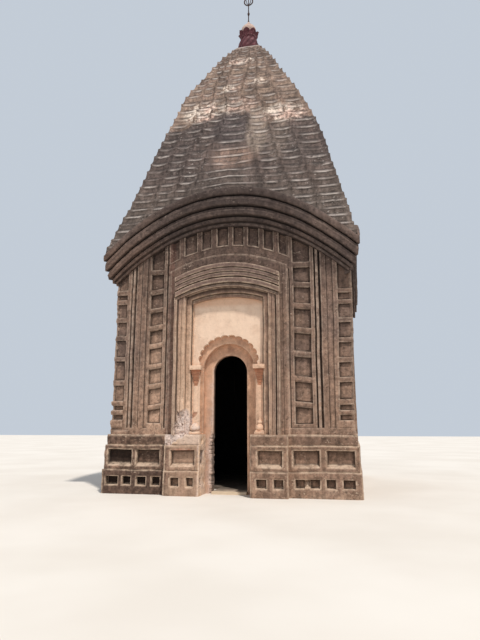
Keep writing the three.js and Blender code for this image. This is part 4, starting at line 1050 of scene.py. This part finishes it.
def plinth_lines(r1, r2, lo, hi, step, extra=()):
    ex = list(extra)
    for r in r1:
        ex += [r[0], r[0] + .014, r[1] - .014, r[1]]
    for r in r2:
        ex += [r[0], r[0] + .030, r[1] - .016, r[1]]
    return lines(ex, lo, hi, step, .005)


def plinth_z(step):
    return lines([.415, .848, T1[0], T1[0] + .010, T1[1] - .006, T1[1], T2[0], T2[0] + .046, T2[1] - .010, T2[1]], 0, 1.036, step, .006)


for sd, nm in ((-1, "left"), (1, "right")):
    r1, r2 = WING[sd]
    lo, hi = (-2.3, -1.085) if sd < 0 else (1.085, 2.3)
    f = plinth_fn(r1, r2, (0.0, -.020, -.054), broken=sd > 0)
    bx = (lambda x: np.where(x < -1.1, -1.1 + (x + 1.1) * (.15 / 1.2), x)) if sd < 0 else (lambda x: np.where(x > 1.1, 1.1 + (x - 1.1) * (.15 / 1.2), x))
    o = relief("plinth_wing_" + nm + "_face", M_BASE, 0, plinth_lines(r1, r2, lo, hi, .030, (1.35, 1.40, 1.44, 1.46) if sd > 0 else ()), plinth_z(.026), f, 2.3, 1.25, 330,
               corner=(2.24, 2.3), mitre=(sd < 0, sd > 0), back_x=bx, chips=.015, ends=(-2.3, 2.3, -9, 1.036))
    place(o, "plinth_plaster", "plinth_wing_" + nm)
for k, nm in ((1, "right"), (2, "back"), (3, "left")):
    r1 = WING[-1][0] + WING[1][0]
    r2 = WING[-1][1] + WING[1][1]
    base = plinth_fn(r1, r2, (0.0, -.020, -.054))
    mid = plinth_fn(PLAIN[0], PLAIN[1], (.020, .000, -.034))
    f = lambda X, Z: np.where(np.abs(X) < 1.09, mid(X, Z), base(X, Z))
    o = relief("plinth_" + nm + "_face", M_BASE, k, plinth_lines(r1 + PLAIN[0], r2 + PLAIN[1], -2.3, 2.3, .07, (-1.09, 1.09)), plinth_z(.055), f, 2.3, 1.25, 330,
               corner=(2.24, 2.3), mitre=(True, True), back_x=lambda x: x * 1.25 / 2.3, chips=.015, ends=(-2.3, 2.3, -9, 1.036))
    place(o, "plinth_plaster", "plinth_" + nm)


# ---- places where the plaster has broken away
LOST = [(-.925, 1.00), (-.925, 1.16), (-.905, 1.25), (-.905, 1.37), (-.870, 1.43), (-.800, 1.455), (-.745, 1.50), (-.720, 1.46), (-.690, 1.36), (-.600, 1.30), (-.600, 1.00)]
LOST2 = [(-1.085, .850), (-1.085, 1.06), (-.700, 1.06), (-.745, .985), (-.830, .965), (-.870, .905), (-.960, .895), (-.975, .850)]


def in_poly(x, z, poly):
    c = np.zeros(np.shape(x), bool)
    n = len(poly)
    for i in range(n):
        (xa, za), (xb, zb) = poly[i], poly[(i + 1) % n]
        hit = ((za > z) != (zb > z)) & (x < (xb - xa) * (z - za) / ((zb - za) if zb != za else 1e-9) + xa)
        c ^= hit
    return c


def lost_at(X, Z, poly=LOST):
    P = np.stack([X, 0 * X, Z], -1)
    q = wobble(P, .024, 9, 391) + wobble(P, .012, 28, 395)
    return in_poly(X + q[..., 0], Z + q[..., 2], poly)


def rubble(X, Z, seed):
    P = np.stack([X, 0 * X, Z], -1)
    return .62 * (np.abs(fbm(P, 16, 3, seed)) + .9 * clip01(fbm(P, 30, 2, seed + 3)) - .1)


def block_lime(X, Z, Pw):
    out = 1.0 * (lost_at(X, Z, LOST2) & (Z > .845))
    wash = .42 * smooth(.85, .87, Z) * smooth(-.90, -.78, X)
    arris = .50 * smooth(-.500, -.462, X) * clip01(.55 + 1.6 * fbm(Pw, 7, 3, 381))
    return np.maximum(out, np.maximum(wash, arris))


# ---- door-side blocks of the plinth: their fronts and their faces towards the door
def tier_front(Z):
    return tier(Z, 2.430, 2.412, 2.382)


for sd, nm in ((-1, "left"), (1, "right")):
    r1, r2 = BLK[sd]
    lo, hi = (-1.09, -.445) if sd < 0 else (.445, 1.09)
    f = plinth_fn(r1, r2, (0.0, -.018, -.048))
    bxs = (lambda x: np.minimum(x, -.645 + (x + .445) * .05)) if sd < 0 else (lambda x: np.maximum(x, .645 + (x - .445) * .05))
    if sd < 0:
        f0 = f
        f = lambda X, Z: np.where(lost_at(X, Z, LOST2) & (Z > .845), np.minimum(f0(X, Z), -.060 - .050 * rubble(X, Z, 399)), f0(X, Z))
    o = relief("plinth_block_" + nm + "_front", M_BASE, 0, plinth_lines(r1, r2, lo, hi, .016 if sd < 0 else .028), plinth_z(.018 if sd < 0 else .026), f, 2.43, 1.985, 360 + sd,
               mitre=(sd > 0, sd < 0), back_x=bxs, chips=.016, ends=(lo, hi, -9, 1.036), lime=block_lime if sd < 0 else None)
    place(o, "plinth_plaster", "plinth_block_" + nm)

    # inner side: local x runs along y
    side = 1 if sd < 0 else 3
    sgn = 1 if sd < 0 else -1

    def side_off(X, Z, sgn=sgn, sd=sd):
        Y = X * sgn                      # world y
        O = 0 * X
        if sd < 0:
            O = O - sunk(Y, Z, (-2.350, -2.225, .165, .300), .070, .012, .012, .010, .008)
            O = O - sunk(Y, Z, (-2.330, -2.105, .505, .765), .048, .020, .014, .030, .010)
        return O

    ya, yb = (-2.43, -1.985) if sd < 0 else (1.985, 2.43)
    ex = [v * sgn for v in (-2.350, -2.338, -2.237, -2.225, -2.330, -2.310, -2.119, -2.105)] if sd < 0 else []

    def side_shear(P, X, Z, sgn=sgn):
        k = (tier_front(Z) - 1.985) / (2.43 - 1.985)
        Y = X * sgn
        P[..., 0] = sgn * (-1.985 + (Y + 1.985) * k)
        return P

    def rag(out, P, Pw, sd=sd):
        # the left block's door side is rough where plaster has come away
        if sd < 0:
            n = fbm(Pw, 9.0, 3, 371)
            m = smooth(.0, .10, Pw[..., 2]) * (1 - smooth(.90, 1.02, Pw[..., 2])) * smooth(-2.40, -2.30, Pw[..., 1])
            out[..., 0] -= m * clip01((n + .05) / .5) * .020
        return out

    bks = (lambda x: -1.985 + (x + 1.985) * .1) if sd < 0 else (lambda x: 1.985 + (x - 1.985) * .1)
    o = relief("plinth_block_" + nm + "_side", M_BASE, side, lines(ex, ya, yb, .026, .005), plinth_z(.026), side_off, -.445, -.640, 360 + sd,
               mitre=(sd < 0, sd > 0), back_x=bks, chips=.016, ends=((ya, 99, -9, 1.036) if sd < 0 else (-99, yb, -9, 1.036)), shear=side_shear, pre=rag,
               lime=(lambda X, Z, Pw: .55 * clip01(.55 + 1.8 * fbm(Pw, 6, 3, 383)) + 0 * X) if sd < 0 else None)
    place(o, "plinth_plaster")


# ---- door bay: nested frame turning down from a curved hood
def rise(x, t):
    return .236 * (x / .97) ** 2 * smooth(2.85, 3.45, t)


HOODS = [(4.130, 4.050, 2.427), (4.050, 4.036, 2.396), (4.036, 3.968, 2.414), (3.968, 3.955, 2.384), (3.955, 3.885, 2.402), (3.885, 3.862, 2.345),
         (3.862, 3.768, 2.400), (3.768, 3.748, 2.335), (3.748, 3.700, 2.366)]
HOLE = (.655, 3.532)


def bay_off(X, T, field=None):
    A = np.abs(X)
    y = np.full(X.shape, 2.385)
    y = np.where((A < .925) & (T < 3.748), 2.322, y)
    y = np.where((A < .899) & (T < 3.748), 2.346, y)
    y = np.where((np.abs(A - .838) < .008) & (T < 3.748), 2.334, y)
    y = np.where((A < .779) & (T < 3.700), 2.318, y)
    y = np.where((A < .768) & (T < 3.684), 2.262, y)
    y = np.where((A < .676) & (T < 3.604), 2.190, y)
    y = np.where((A < .662) & (T < 3.592), 2.212, y)
    for zt, zb, v in HOODS:
        y = np.where((T <= zt + 1e-6) & (T > zb) & ((A < .99) if v > 2.39 else (A < .965)), v, y)
    if field is not None:
        y = np.where((A < HOLE[0]) & (T < HOLE[1]), field, y)
    return y - 2.372


def bay_mask(X, T, hole=True):
    A = np.abs(X)
    out = (A < .972)
    if hole:
        out = out & ~((A < HOLE[0]) & (T < HOLE[1]))
    return out


def bay_shear(P, X, T):
    P[..., 2] = T - rise(X, T)
    P[..., 0] = P[..., 0] + .016 * smooth(3.755, 3.775, T)
    return P


def bay_grid(step, hole=True, lost=False):
    ex = [s * v for s in (-1, 1) for v in (.925, .899, .846, .830, .779, .768, .676, .662, HOLE[0])]
    ez = [v for h in HOODS for v in h[:2]] + [3.684, 3.604, 3.592, HOLE[1]]
    xs, zs = lines(ex, -.972, .972, step, .005), lines(ez, 1.026, 4.130, step, .005)
    if lost:
        # finer where the plaster is broken
        keep = [v for v in xs if not (-.95 < v < -.66 and min(abs(v - q) for q in ex) > .004)]
        xs = np.array(sorted(keep + [v for v in np.arange(-.95, -.66, .011) if min(abs(v - q) for q in ex) > .005]))
        zs = np.array(sorted([v for v in zs if v > 1.56 or v < 1.04] + list(np.arange(1.047, 1.56, .012))))
    return xs, zs


def front_bay_off(X, T):
    O = bay_off(X, T)
    m = lost_at(X, T)
    deep = .062 + .060 * rubble(X, T, 397)
    return np.where(m, np.minimum(O, -deep), O)


def lime_of(X, Z, Pw):
    e = 0.0
    for dx, dz in ((0, 0), (.02, 0), (-.02, 0), (0, .02), (0, -.02)):
        e = e + lost_at(X + dx, Z + dz)
    return e / 5.0


xs, ts = bay_grid(.030, lost=True)
o = relief("door_bay_frame", M_FRAME, 0, xs, ts, front_bay_off, 2.372, 1.985, 400, mask=bay_mask, shear=bay_shear, r=.014, chips=.007,
           ends=(-.972, .972, -9, 4.130), lime=lime_of, gain=.016)
place(o, "wall_plaster", "door_frame_left", "door_frame_right", "door_frame_head")
xs, ts = bay_grid(.09)
for k, nm in ((1, "right"), (2, "back"), (3, "left")):
    o = relief("blind_bay_" + nm + "_face", M_WALL, k, xs, ts, lambda X, T: (bay_off(X, T, 2.175) + .172) * .36 - .062, 2.262, 1.26, 400, back_x=lambda x: x * .64,
               mask=lambda X, T: bay_mask(X, T, False), shear=bay_shear, r=.014, chips=.007, ends=(-.972, .972, -9, 4.130), gain=.016)
    place(o, "wall_plaster", "blind_bay_" + nm)


# ---- plates with an opening: a strip between an inner and an outer outline
def strip(name, mat, inner, outer, y0, y1, seed, cham=None, ns=9, depth_n=3, wear_in=.6, rough=.0022, lime_in=None, lime_face=None, lime_edge=None, power=1.5):
    n = len(inner)
    inner, outer = np.array(inner, float), np.array(outer, float)
    cx = np.full(n, .006) if cham is None else cham[0]
    cy = np.full(n, .006) if cham is None else cham[1]
    d = outer - inner
    L = np.hypot(d[:, 0], d[:, 1])
    u = d / np.maximum(L, 1e-6)[:, None]
    cols, W, C, LM = [], [], [], []
    # passage side, from the back to the front
    for i in range(depth_n + 1):
        k = i / depth_n
        y = -y1 + (-(y0 - cy) + y1) * k
        cols.append(np.stack([inner[:, 0], y + 0 * inner[:, 0], inner[:, 1]], -1))
        W.append(np.full(n, .0 if i < depth_n else wear_in))
        C.append(np.zeros(n))
        LM.append(np.zeros(n) if lime_in is None else lime_in)
    start = cx / np.maximum(L, 1e-6)
    for i in range(ns):
        k = start + (1 - start) * (i / (ns - 1)) ** power
        q = inner + d * k[:, None]
        cols.append(np.stack([q[:, 0], np.full(n, -y0), q[:, 1]], -1))
        W.append(np.full(n, wear_in if i == 0 else 0.0))
        C.append(np.zeros(n))
        LM.append(np.zeros(n) if lime_edge is None else lime_edge * max(0.0, 1 - i / 3.0))
    P = np.stack(cols, 1)
    W, C, LM = np.stack(W, 1), np.stack(C, 1), np.stack(LM, 1)
    out = P + wobble(P, .0035, 1.9, seed)
    nf = fbm(P, 12, 3, seed + 1)
    out[..., 1] += rough * nf
    out[..., 2] = np.where(P[..., 2] <= 1e-6, 0.0, np.maximum(out[..., 2], 0))
    b = Build()
    I = b.grid(out, W, C, flip=True, lime=LM)
    back = np.stack([outer[:, 0], np.full(n, -y1), outer[:, 1]], -1)
    ib = b.add(back) + np.arange(n)
    b.quads(I[:-1, -1], ib[:-1], ib[1:], I[1:, -1])
    b.quads(ib[:-1], I[:-1, 0], I[1:, 0], ib[1:])
    b.ngon(list(I[0, :]) + [ib[0]])
    b.ngon([ib[-1]] + list(I[-1, ::-1]))
    return b.make(name, mat, 40)


def arch_outline(half, spring, z0, nleg, narc, radius=None):
    pts = [(-half, z) for z in np.linspace(z0, spring, nleg, endpoint=False)]
    for i in range(narc + 1):
        a = math.pi * (1 - i / narc)
        r = 1.0 if radius is None else radius(i / narc)
        pts.append((half * r * math.cos(a), spring + half * r * math.sin(a)))
    pts += [(half, z) for z in np.linspace(spring, z0, nleg + 1)[1:]]
    return pts


def rays(n_leg, n_arc, cx, cz, half, top, z0, spring, legs=None):
    """Matching outline on a rectangle: straight legs, then rays from the arch's centre."""
    out = [(-half, z) for z in np.linspace(z0, spring, n_leg, endpoint=False)]
    for i in range(n_arc + 1):
        a = math.pi * (1 - i / n_arc)
        c, s = math.cos(a), math.sin(a)
        k = min(half / abs(c) if abs(c) > 1e-6 else 1e9, (top - cz) / s if s > 1e-6 else 1e9)
        out.append((cx + k * c, cz + k * s))
    out += [(half, z) for z in np.linspace(spring, z0, n_leg + 1)[1:]]
    return out


# inner ring, jambs and passage: the thick wall round the doorway
NL, NA = 150, 60
inn = arch_outline(.316, 2.150, 0.0, NL, NA)
zz = np.array([q[1] for q in inn])
xx = np.array([q[0] for q in inn])
q3 = np.stack([xx, 0 * xx, zz], -1)
left = (xx < -.30).astype(float)
low = left * (1 - smooth(.96, 1.10, zz))
# broken brick ends: one lump per course, set back by turns
zc = zz + .034 * fbm(q3, 5, 2, 423) + .010 * fbm(q3, 19, 2, 424)
course = np.floor(zc / .064)
inb = np.abs(((zc / .064) % 1.0) - .5) * 2
lump = .5 + .5 * rand(course, 77)
joint = smooth(.60, .98, inb) * (.35 + .65 * (.5 + .5 * rand(course, 81)))
n_f = fbm(q3, 24, 3, 421)
cx = .007 + low * (.026 + .028 * lump + .036 * n_f + .012 * joint) + left * (.008 + .012 * clip01(fbm(q3, 13, 2, 422) + .3))
cy = .007 + low * (.050 + .050 * (.5 + .5 * rand(course, 78)) + .028 * n_f + .014 * joint) + left * .010
edge_x = low * (.007 * rand(course, 79) - .006 * joint + .012 * n_f) + left * .003 * n_f
inn = [(x + (e if x < 0 else 0), z) for (x, z), e in zip(inn, edge_x)]
lime_j = left * smooth(1.02, 1.2, zz) * (1 - smooth(2.25, 2.4, zz)) * .35 + low * (.55 + .35 * rand(course, 80))
out_ = rays(NL, NA, 0, 2.150, .945, 3.76, 0.0, 2.150)
out_ = [((math.copysign(1.087, x) if z < 1.0 else x), z) for x, z in out_]
o = strip("doorway_inner_ring", M_DOOR, inn, out_, 1.960, 1.840, 420, cham=(cx, cy), ns=8, depth_n=5, lime_in=lime_j, lime_edge=low * .75 + (left - low) * (1 - smooth(1.9, 2.2, zz)) * (.35 + .5 * clip01(fbm(q3, 15, 2, 425) + .2)), power=1.8)
place(o, "door_plaster", "jamb_left", "jamb_right")
inn = arch_outline(.560, 2.150, 0.0, 16, 40)
out_ = rays(16, 40, 0, 2.150, .945, 3.76, 0.0, 2.150)
out_ = [((math.copysign(1.087, x) if z < 1.0 else x), z) for x, z in out_]
# the passage is painted near-black as shade of the unlit interior
o = strip("doorway_passage", M_INTERIOR_SHADE, inn, out_, 1.845, 1.250, 425, ns=4, depth_n=5)
place(o, "door_plaster")

# outer ring
inn = arch_outline(.477, 2.190, 1.03, 30, 60)
out_ = rays(30, 60, 0, 2.190, .66, 3.40, 1.03, 2.190)
o = strip("doorway_outer_ring", M_DOOR, inn, out_, 2.080, 1.955, 430, ns=9)
place(o, "door_plaster")

# plain field over the door with its cusped arch
N_CUSP, PER = 12, 14


def lobe(u):
    k = (u * N_CUSP) % 1.0
    if u >= 1 or u <= 0:
        k = 0.0
    return 0.965 + .070 * math.sqrt(max(0.0, 1 - (2 * k - 1) ** 2))


def cusp_outline():
    pts = [(-.546, z) for z in np.linspace(1.036, 2.300, 30, endpoint=False)]
    n = N_CUSP * PER
    for i in range(n + 1):
        a = math.pi * (1 - i / n)
        r = lobe(i / n)
        pts.append((.548 * r * math.cos(a), 2.330 + .478 * r * math.sin(a)))
    pts += [(.546, z) for z in np.linspace(2.300, 1.036, 31)[1:]]
    return pts


inn = cusp_outline()
out_ = rays(30, N_CUSP * PER, 0, 2.335, .700, 3.62, 1.036, 2.300)
o = strip("cusped_field", M_CREAM, inn, out_, 2.160, 2.075, 440, ns=14, depth_n=2, rough=.0015)
place(o, "cream_plaster")


# ---- rounded boxes and turned shapes
def soft_box(b, x0, x1, y0, y1, z0, z1, r=.006, step=.03, wear_and_highlight=1.0, lime=0.0):
    lo, hi = np.array([x0, y0, z0]), np.array([x1, y1, z1])
    ax = []
    for k in range(3):
        n = max(1, int(math.ceil((hi[k] - lo[k] - 2 * r) / step)))
        ax.append(np.concatenate([[lo[k], lo[k] + r * .4], np.linspace(lo[k] + r, hi[k] - r, n + 1), [hi[k] - r * .4, hi[k]]]))
    for k in range(3):
        i, j = (k + 1) % 3, (k + 2) % 3
        U, V = np.meshgrid(ax[i], ax[j])
        for end in (0, 1):
            P = np.zeros(U.shape + (3,))
            P[..., i], P[..., j], P[..., k] = U, V, (hi if end else lo)[k]
            q = np.clip(P, lo + r, hi - r)
            d = P - q
            n = np.linalg.norm(d, axis=-1, keepdims=True)
            P2 = q + d / np.maximum(n, 1e-9) * r
            edge = ((np.abs(d) > r * .3).sum(-1) >= 2).astype(float) * wear_and_highlight
            b.grid(P2, edge, 0 * edge, flip=(end == 0), lime=lime + 0 * edge)
            b.mids[len(b.v) - 1] = (lo + hi) / 2


def worn(b, seed, amp=.003, chip=.006):
    V = [np.array(v) for v in b.v]
    for i, P in enumerate(V):
        W = np.array(b.w[i])
        n = fbm(P, 13, 3, seed)
        c = clip01((fbm(P, 9, 2, seed + 3) + .0) / .4)
        b.v[i] = P + wobble(P, amp, 3, seed + 1) + wobble(P, amp * .7, 17, seed + 2) - (np.sign(np.round(P - b.mids.get(i, P.mean(0)), 6)) * (W * c * chip)[:, None]) * np.array([1, 1, 1])
    return b


def turned(b, prof, cx, cy, n=32, wear_and_highlight=None, a0=0, a1=2 * math.pi, flute=None, seed=0):
    prof = np.array(prof, float)
    a = np.linspace(a0, a1, n, endpoint=False)
    R, A = prof[:, 0][:, None], a[None, :]
    Z = prof[:, 1][:, None] + 0 * A
    if flute is not None:
        R = R * flute(A, Z)
    P = np.stack([cx + R * np.cos(A), cy + R * np.sin(A), Z], -1)
    W = np.zeros(P.shape[:2]) if wear_and_highlight is None else np.array(wear_and_highlight)[:, None] + 0 * A
    I = b.grid(P, W, 0 * W, wrap=True)
    b.ngon(list(I[0, ::-1]))
    b.ngon(list(I[-1]))
    return I


# colonnettes beside the door
for sd, nm in ((-1, "left"), (1, "right")):
    c = sd * .585
    yb = -2.150
    b = Build()
    soft_box(b, c - .088, c + .088, yb - .150, yb, 1.036, 1.085, .010, .04)
    soft_box(b, c - .078, c + .078, yb - .100, yb, 1.080, 1.108, .009, .04)
    soft_box(b, c - .072, c + .072, yb - .030, yb, 1.105, 2.200, .006, .06)
    for h, p, z0, z1 in [(.036, .040, 1.900, 1.950), (.048, .048, 1.944, 2.005), (.060, .058, 2.000, 2.060), (.072, .070, 2.055, 2.120), (.084, .086, 2.115, 2.184), (.108, .142, 2.178, 2.258)]:
        soft_box(b, c - h, c + h, yb - p, yb, z0, z1, .007, .04)
    # two faint upright steps on the pilaster
    soft_box(b, c - .050, c + .026, yb - .038, yb - .020, 1.30 if sd > 0 else 1.42, 1.905, .004, .06, wear_and_highlight=.4)
    worn(b, 450 + sd)
    o = b.make("colonnette_" + nm + "_blocks", M_DOOR, 45, weld=True)
    place(o, "door_plaster", "colonnette_" + nm)
    b = Build()
    pot = [(.0012, 1.100), (.058, 1.100), (.070, 1.112), (.078, 1.138), (.076, 1.165), (.060, 1.192), (.040, 1.208), (.032, 1.218), (.040, 1.230), (.046, 1.244), (.042, 1.262), (.030, 1.274)]
    if sd < 0:
        # the left pot is wider and the shaft above it is broken off
        pot = [(.0012, 1.100), (.070, 1.100), (.088, 1.114), (.094, 1.140), (.088, 1.170), (.066, 1.200), (.040, 1.222), (.022, 1.232), (.0012, 1.234)]
        turned(b, pot, c, yb - .075, 30, wear_and_highlight=[0, .6, .2, .5, .3, 0, .5, .5, .5])
        b.l[0] = b.l[0] + .75 * clip01(.7 + 1.5 * fbm(b.v[0], 14, 2, 461))
    else:
        turned(b, pot + [(.022, 1.290), (.020, 1.340), (.0012, 1.345)], c, yb - .040, 28, wear_and_highlight=[0, .6, .2, .5, .3, 0, 0, 0, .6, .8, .5, 0, 0, 0, 0])
    worn(b, 460 + sd, .002, .004)
    o = b.make("colonnette_" + nm + "_shaft", M_DOOR, 50)
    place(o, "door_plaster")

# ---- bulb, lotus collar and cap
NECK, BTOP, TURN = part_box("kalasha_bulb")[0].z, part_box("kalasha_bulb")[1].z, math.radians(-48.5)
b = Build()
prof = [(.10, 0), (.230, 0), (.256, .008), (.264, .022), (.262, .036), (.266, .050), (.270, .075), (.272, .105), (.270, .140), (.264, .180), (.254, .222), (.242, .262), (.228, .300),
        (.216, .330), (.206, .352), (.200, .372), (.206, .384), (.200, .396), (.184, BTOP - NECK)]
prof = [(r, NECK + z) for r, z in prof]


def flutes(A, Z):
    t = (Z - NECK) / .4
    depth = .085 * smooth(.08, .25, t) * (1 - smooth(.86, .96, t))
    ph = 11 * (A - 1.05 * t)
    return 1 + depth * (np.abs(np.cos(ph / 2)) - .62)


I = turned(b, prof, 0, 0, 154, flute=flutes, wear_and_highlight=[0] * len(prof))
P = b.v[0]
A = np.arctan2(P[:, 1], P[:, 0])
t = (P[:, 2] - NECK) / .4
crest = np.abs(np.cos(11 * (A - 1.05 * t) / 2))
# flute crests paler with wear; flute grooves darker as painted shade
b.w[0] = clip01((crest - .75) / .25) * smooth(.1, .3, t) * (1 - smooth(.85, .95, t)) * clip01(.5 + fbm(P, 9, 2, 471))
b.c[0] = clip01((.35 - crest) / .3) * smooth(.1, .3, t) * (1 - smooth(.85, .95, t))
b.v[0] = P + wobble(P, .003, 8, 472) + wobble(P, .0015, 30, 473)
place(b.make("bulb_fluted", M_RED, 50), "kalasha_red", "kalasha_bulb")

b = Build()
z0 = BTOP
prof = [(.08, z0), (.176, z0), (.196, z0 + .020), (.202, z0 + .045), (.196, z0 + .075), (.186, z0 + .105), (.14, z0 + .112), (.02, z0 + .112)]
turned(b, prof, 0, 0, 64, wear_and_highlight=[0, .2, .5, .6, .3, .2, 0, 0])
for k in range(8):
    a = TURN + k * math.pi / 4
    nu, nv = 13, 14
    uu = np.linspace(-1, 1, nu)
    vv = np.linspace(0, 1, nv)
    faces = []
    for thick in (0.0, 1.0):
        U, V = np.meshgrid(uu, vv)
        wid = .102 * np.sqrt(np.maximum(0, 1 - np.clip((V - .25) / .75, 0, 1) ** 1.7)) * (0.86 + .14 * smooth(0, .3, V)) + .0015
        rad = .192 + .026 * V + .050 * V ** 2.2 - .020 * (U ** 2) * (1 - .4 * V)
        rad = rad - thick * (.016 * (1 - .55 * V)) + (.010 * np.exp(-(U / .18) ** 2) if thick == 0 else 0)
        zed = z0 + .010 + .178 * V - .004 * V ** 3
        tang = U * wid
        x = rad * math.cos(a) - tang * math.sin(a)
        y = rad * math.sin(a) + tang * math.cos(a)
        faces.append(np.stack([x, y, zed], -1))
    U, V = np.meshgrid(uu, vv)
    tip = smooth(.88, .99, V) * .25
    rim = clip01((np.abs(U) - .8) / .2) * .3
    I0 = b.grid(faces[0], clip01(rim), 0 * U, lime=tip)
    # inner faces of the petals darker towards the base: painted shade
    I1 = b.grid(faces[1], clip01(rim), .6 * (1 - V), flip=True, lime=tip * .8)
    b.quads(I1[:-1, 0], I0[:-1, 0], I0[1:, 0], I1[1:, 0])
    b.quads(I0[:-1, -1], I1[:-1, -1], I1[1:, -1], I0[1:, -1])
    b.quads(I0[-1, :-1], I0[-1, 1:], I1[-1, 1:], I1[-1, :-1])
    b.quads(I0[0, 1:], I0[0, :-1], I1[0, :-1], I1[0, 1:])
for i in range(len(b.v)):
    b.v[i] = b.v[i] + wobble(b.v[i], .003, 9, 474)
place(b.make("lotus_collar", M_RED, 50), "kalasha_red", "kalasha_lotus")

b = Build()
zc = z0 + .114
prof = [(.02, zc), (.148, zc), (.166, zc + .06), (.182, zc + .13), (.184, zc + .17), (.176, zc + .205), (.150, zc + .245), (.116, zc + .285), (.082, zc + .320), (.054, zc + .350), (.036, zc + .378), (.025, zc + .402), (.004, zc + .404)]
turned(b, prof, 0, 0, 48, wear_and_highlight=[0, .2, .2, .3, .5, .5, .3, .2, .2, .2, .3, .3, 0])
b.v[0] = b.v[0] + wobble(b.v[0], .003, 10, 476)
place(b.make("cap_cone", M_CAP, 50), "kalasha_cream", "kalasha_cap")


# ---- iron rod and ring
def tube(b, pts, rad, n=10, wear_and_highlight=0.0):
    pts = [Vector(q) for q in pts]
    rads = rad if isinstance(rad, (list, tuple)) else [rad] * len(pts)
    rows = []
    ref = Vector((0, 1, 0))
    for i, q in enumerate(pts):
        t = (pts[min(i + 1, len(pts) - 1)] - pts[max(i - 1, 0)]).normalized()
        u = ref - t * ref.dot(t)
        if u.length < 1e-3:
            u = Vector((1, 0, 0))
        u.normalize()
        w = t.cross(u)
        rows.append([[*(q + (u * math.cos(a) + w * math.sin(a)) * rads[i])] for a in np.linspace(0, 2 * math.pi, n, endpoint=False)])
    P = np.array(rows)
    I = b.grid(P, wear_and_highlight + 0 * P[..., 0], 0 * P[..., 0], wrap=True)
    b.ngon(list(I[0, ::-1]))
    b.ngon(list(I[-1]))


RZ, RR = 11.897, .108
b = Build()
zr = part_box("finial_rod")[0].z
prof = [(.002, zr), (.020, zr), (.021, zr + .03), (.014, zr + .045), (.012, 11.42), (.013, 11.474), (.020, 11.492), (.027, 11.508), (.030, 11.530), (.026, 11.552), (.018, 11.566), (.0135, 11.584),
        (.012, 11.70), (.013, RZ - RR - .015), (.002, RZ - RR - .0148)]
turned(b, prof, 0, 0, 20, wear_and_highlight=[0, .4, .4, .2, .1, .1, .5, .8, .8, .6, .3, .1, .1, .1, 0])
b.v[0] = b.v[0] + wobble(b.v[0], .0012, 6, 481)
place(b.make("rod_iron", M_IRON, 50), "iron", "finial_rod")
b = Build()
m, n = 56, 10
A, B = np.meshgrid(np.linspace(0, 2 * math.pi, m, endpoint=False), np.linspace(0, 2 * math.pi, n, endpoint=False), indexing="ij")
P = np.stack([(RR + .015 * np.cos(B)) * np.cos(A), .015 * np.sin(B), RZ + (RR + .015 * np.cos(B)) * np.sin(A)], -1)
P = np.concatenate([P, P[:1]], 0)
b.grid(P, .3 + 0 * P[..., 0], 0 * P[..., 0], wrap=True)
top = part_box("finial_ring")[1].z
arc = lambda s: [(0, 0, RZ - .080), (s * .022, 0, RZ - .070), (s * .042, 0, RZ - .045), (s * .054, 0, RZ - .008), (s * .059, 0, RZ + .030), (s * .060, 0, RZ + .062)]
tube(b, [(0, 0, RZ - RR - .010), (0, 0, RZ - .06), (0, 0, RZ + .05), (0, 0, RZ + RR + .02), (0, 0, top - .030), (0, 0, top - .002)], [.011, .010, .010, .010, .013, .002], 10)
for s in (-1, 1):
    tube(b, arc(s), [.008, .008, .008, .008, .009, .002], 8)
place(b.make("ring_iron", M_IRON, 50, weld=True), "iron", "finial_ring")

# ------------------------------------------------------------ floor and light
bpy.ops.mesh.primitive_plane_add(size=120, location=(0, 0, 0))
floor = bpy.context.object
floor.name = "studio_floor"
g = Graph("studio floor")
g.set(g.bsdf.inputs["Base Color"], g.mix(g.range(g.noise(0.5, 3, 0.5), 0.3, 0.7), lin((222, 214, 204)), lin((214, 205, 194))))
g.bsdf.inputs["Roughness"].default_value = 0.9
floor.data.materials.append(g.mat)

world = bpy.data.worlds.new("studio")
bpy.context.scene.world = world
world.use_nodes = True
bg = world.node_tree.nodes["Background"]
bg.inputs[0].default_value = lin((222, 232, 244))
bg.inputs[1].default_value = 0.75

sun_data = bpy.data.lights.new("key", "SUN")
sun_data.energy = 3.1
sun_data.angle = math.radians(3.0)
sun_data.color = (1.0, 0.965, 0.91)
sun = bpy.data.objects.new("key", sun_data)
bpy.context.scene.collection.objects.link(sun)
to_sun = Vector((0.80, -1.00, 2.20)).normalized()
sun.rotation_euler = to_sun.to_track_quat("Z", "Y").to_euler()

bpy.context.scene.view_settings.view_transform = "Standard"
bpy.context.scene.view_settings.look = "None"

bpy.context.view_layer.update()
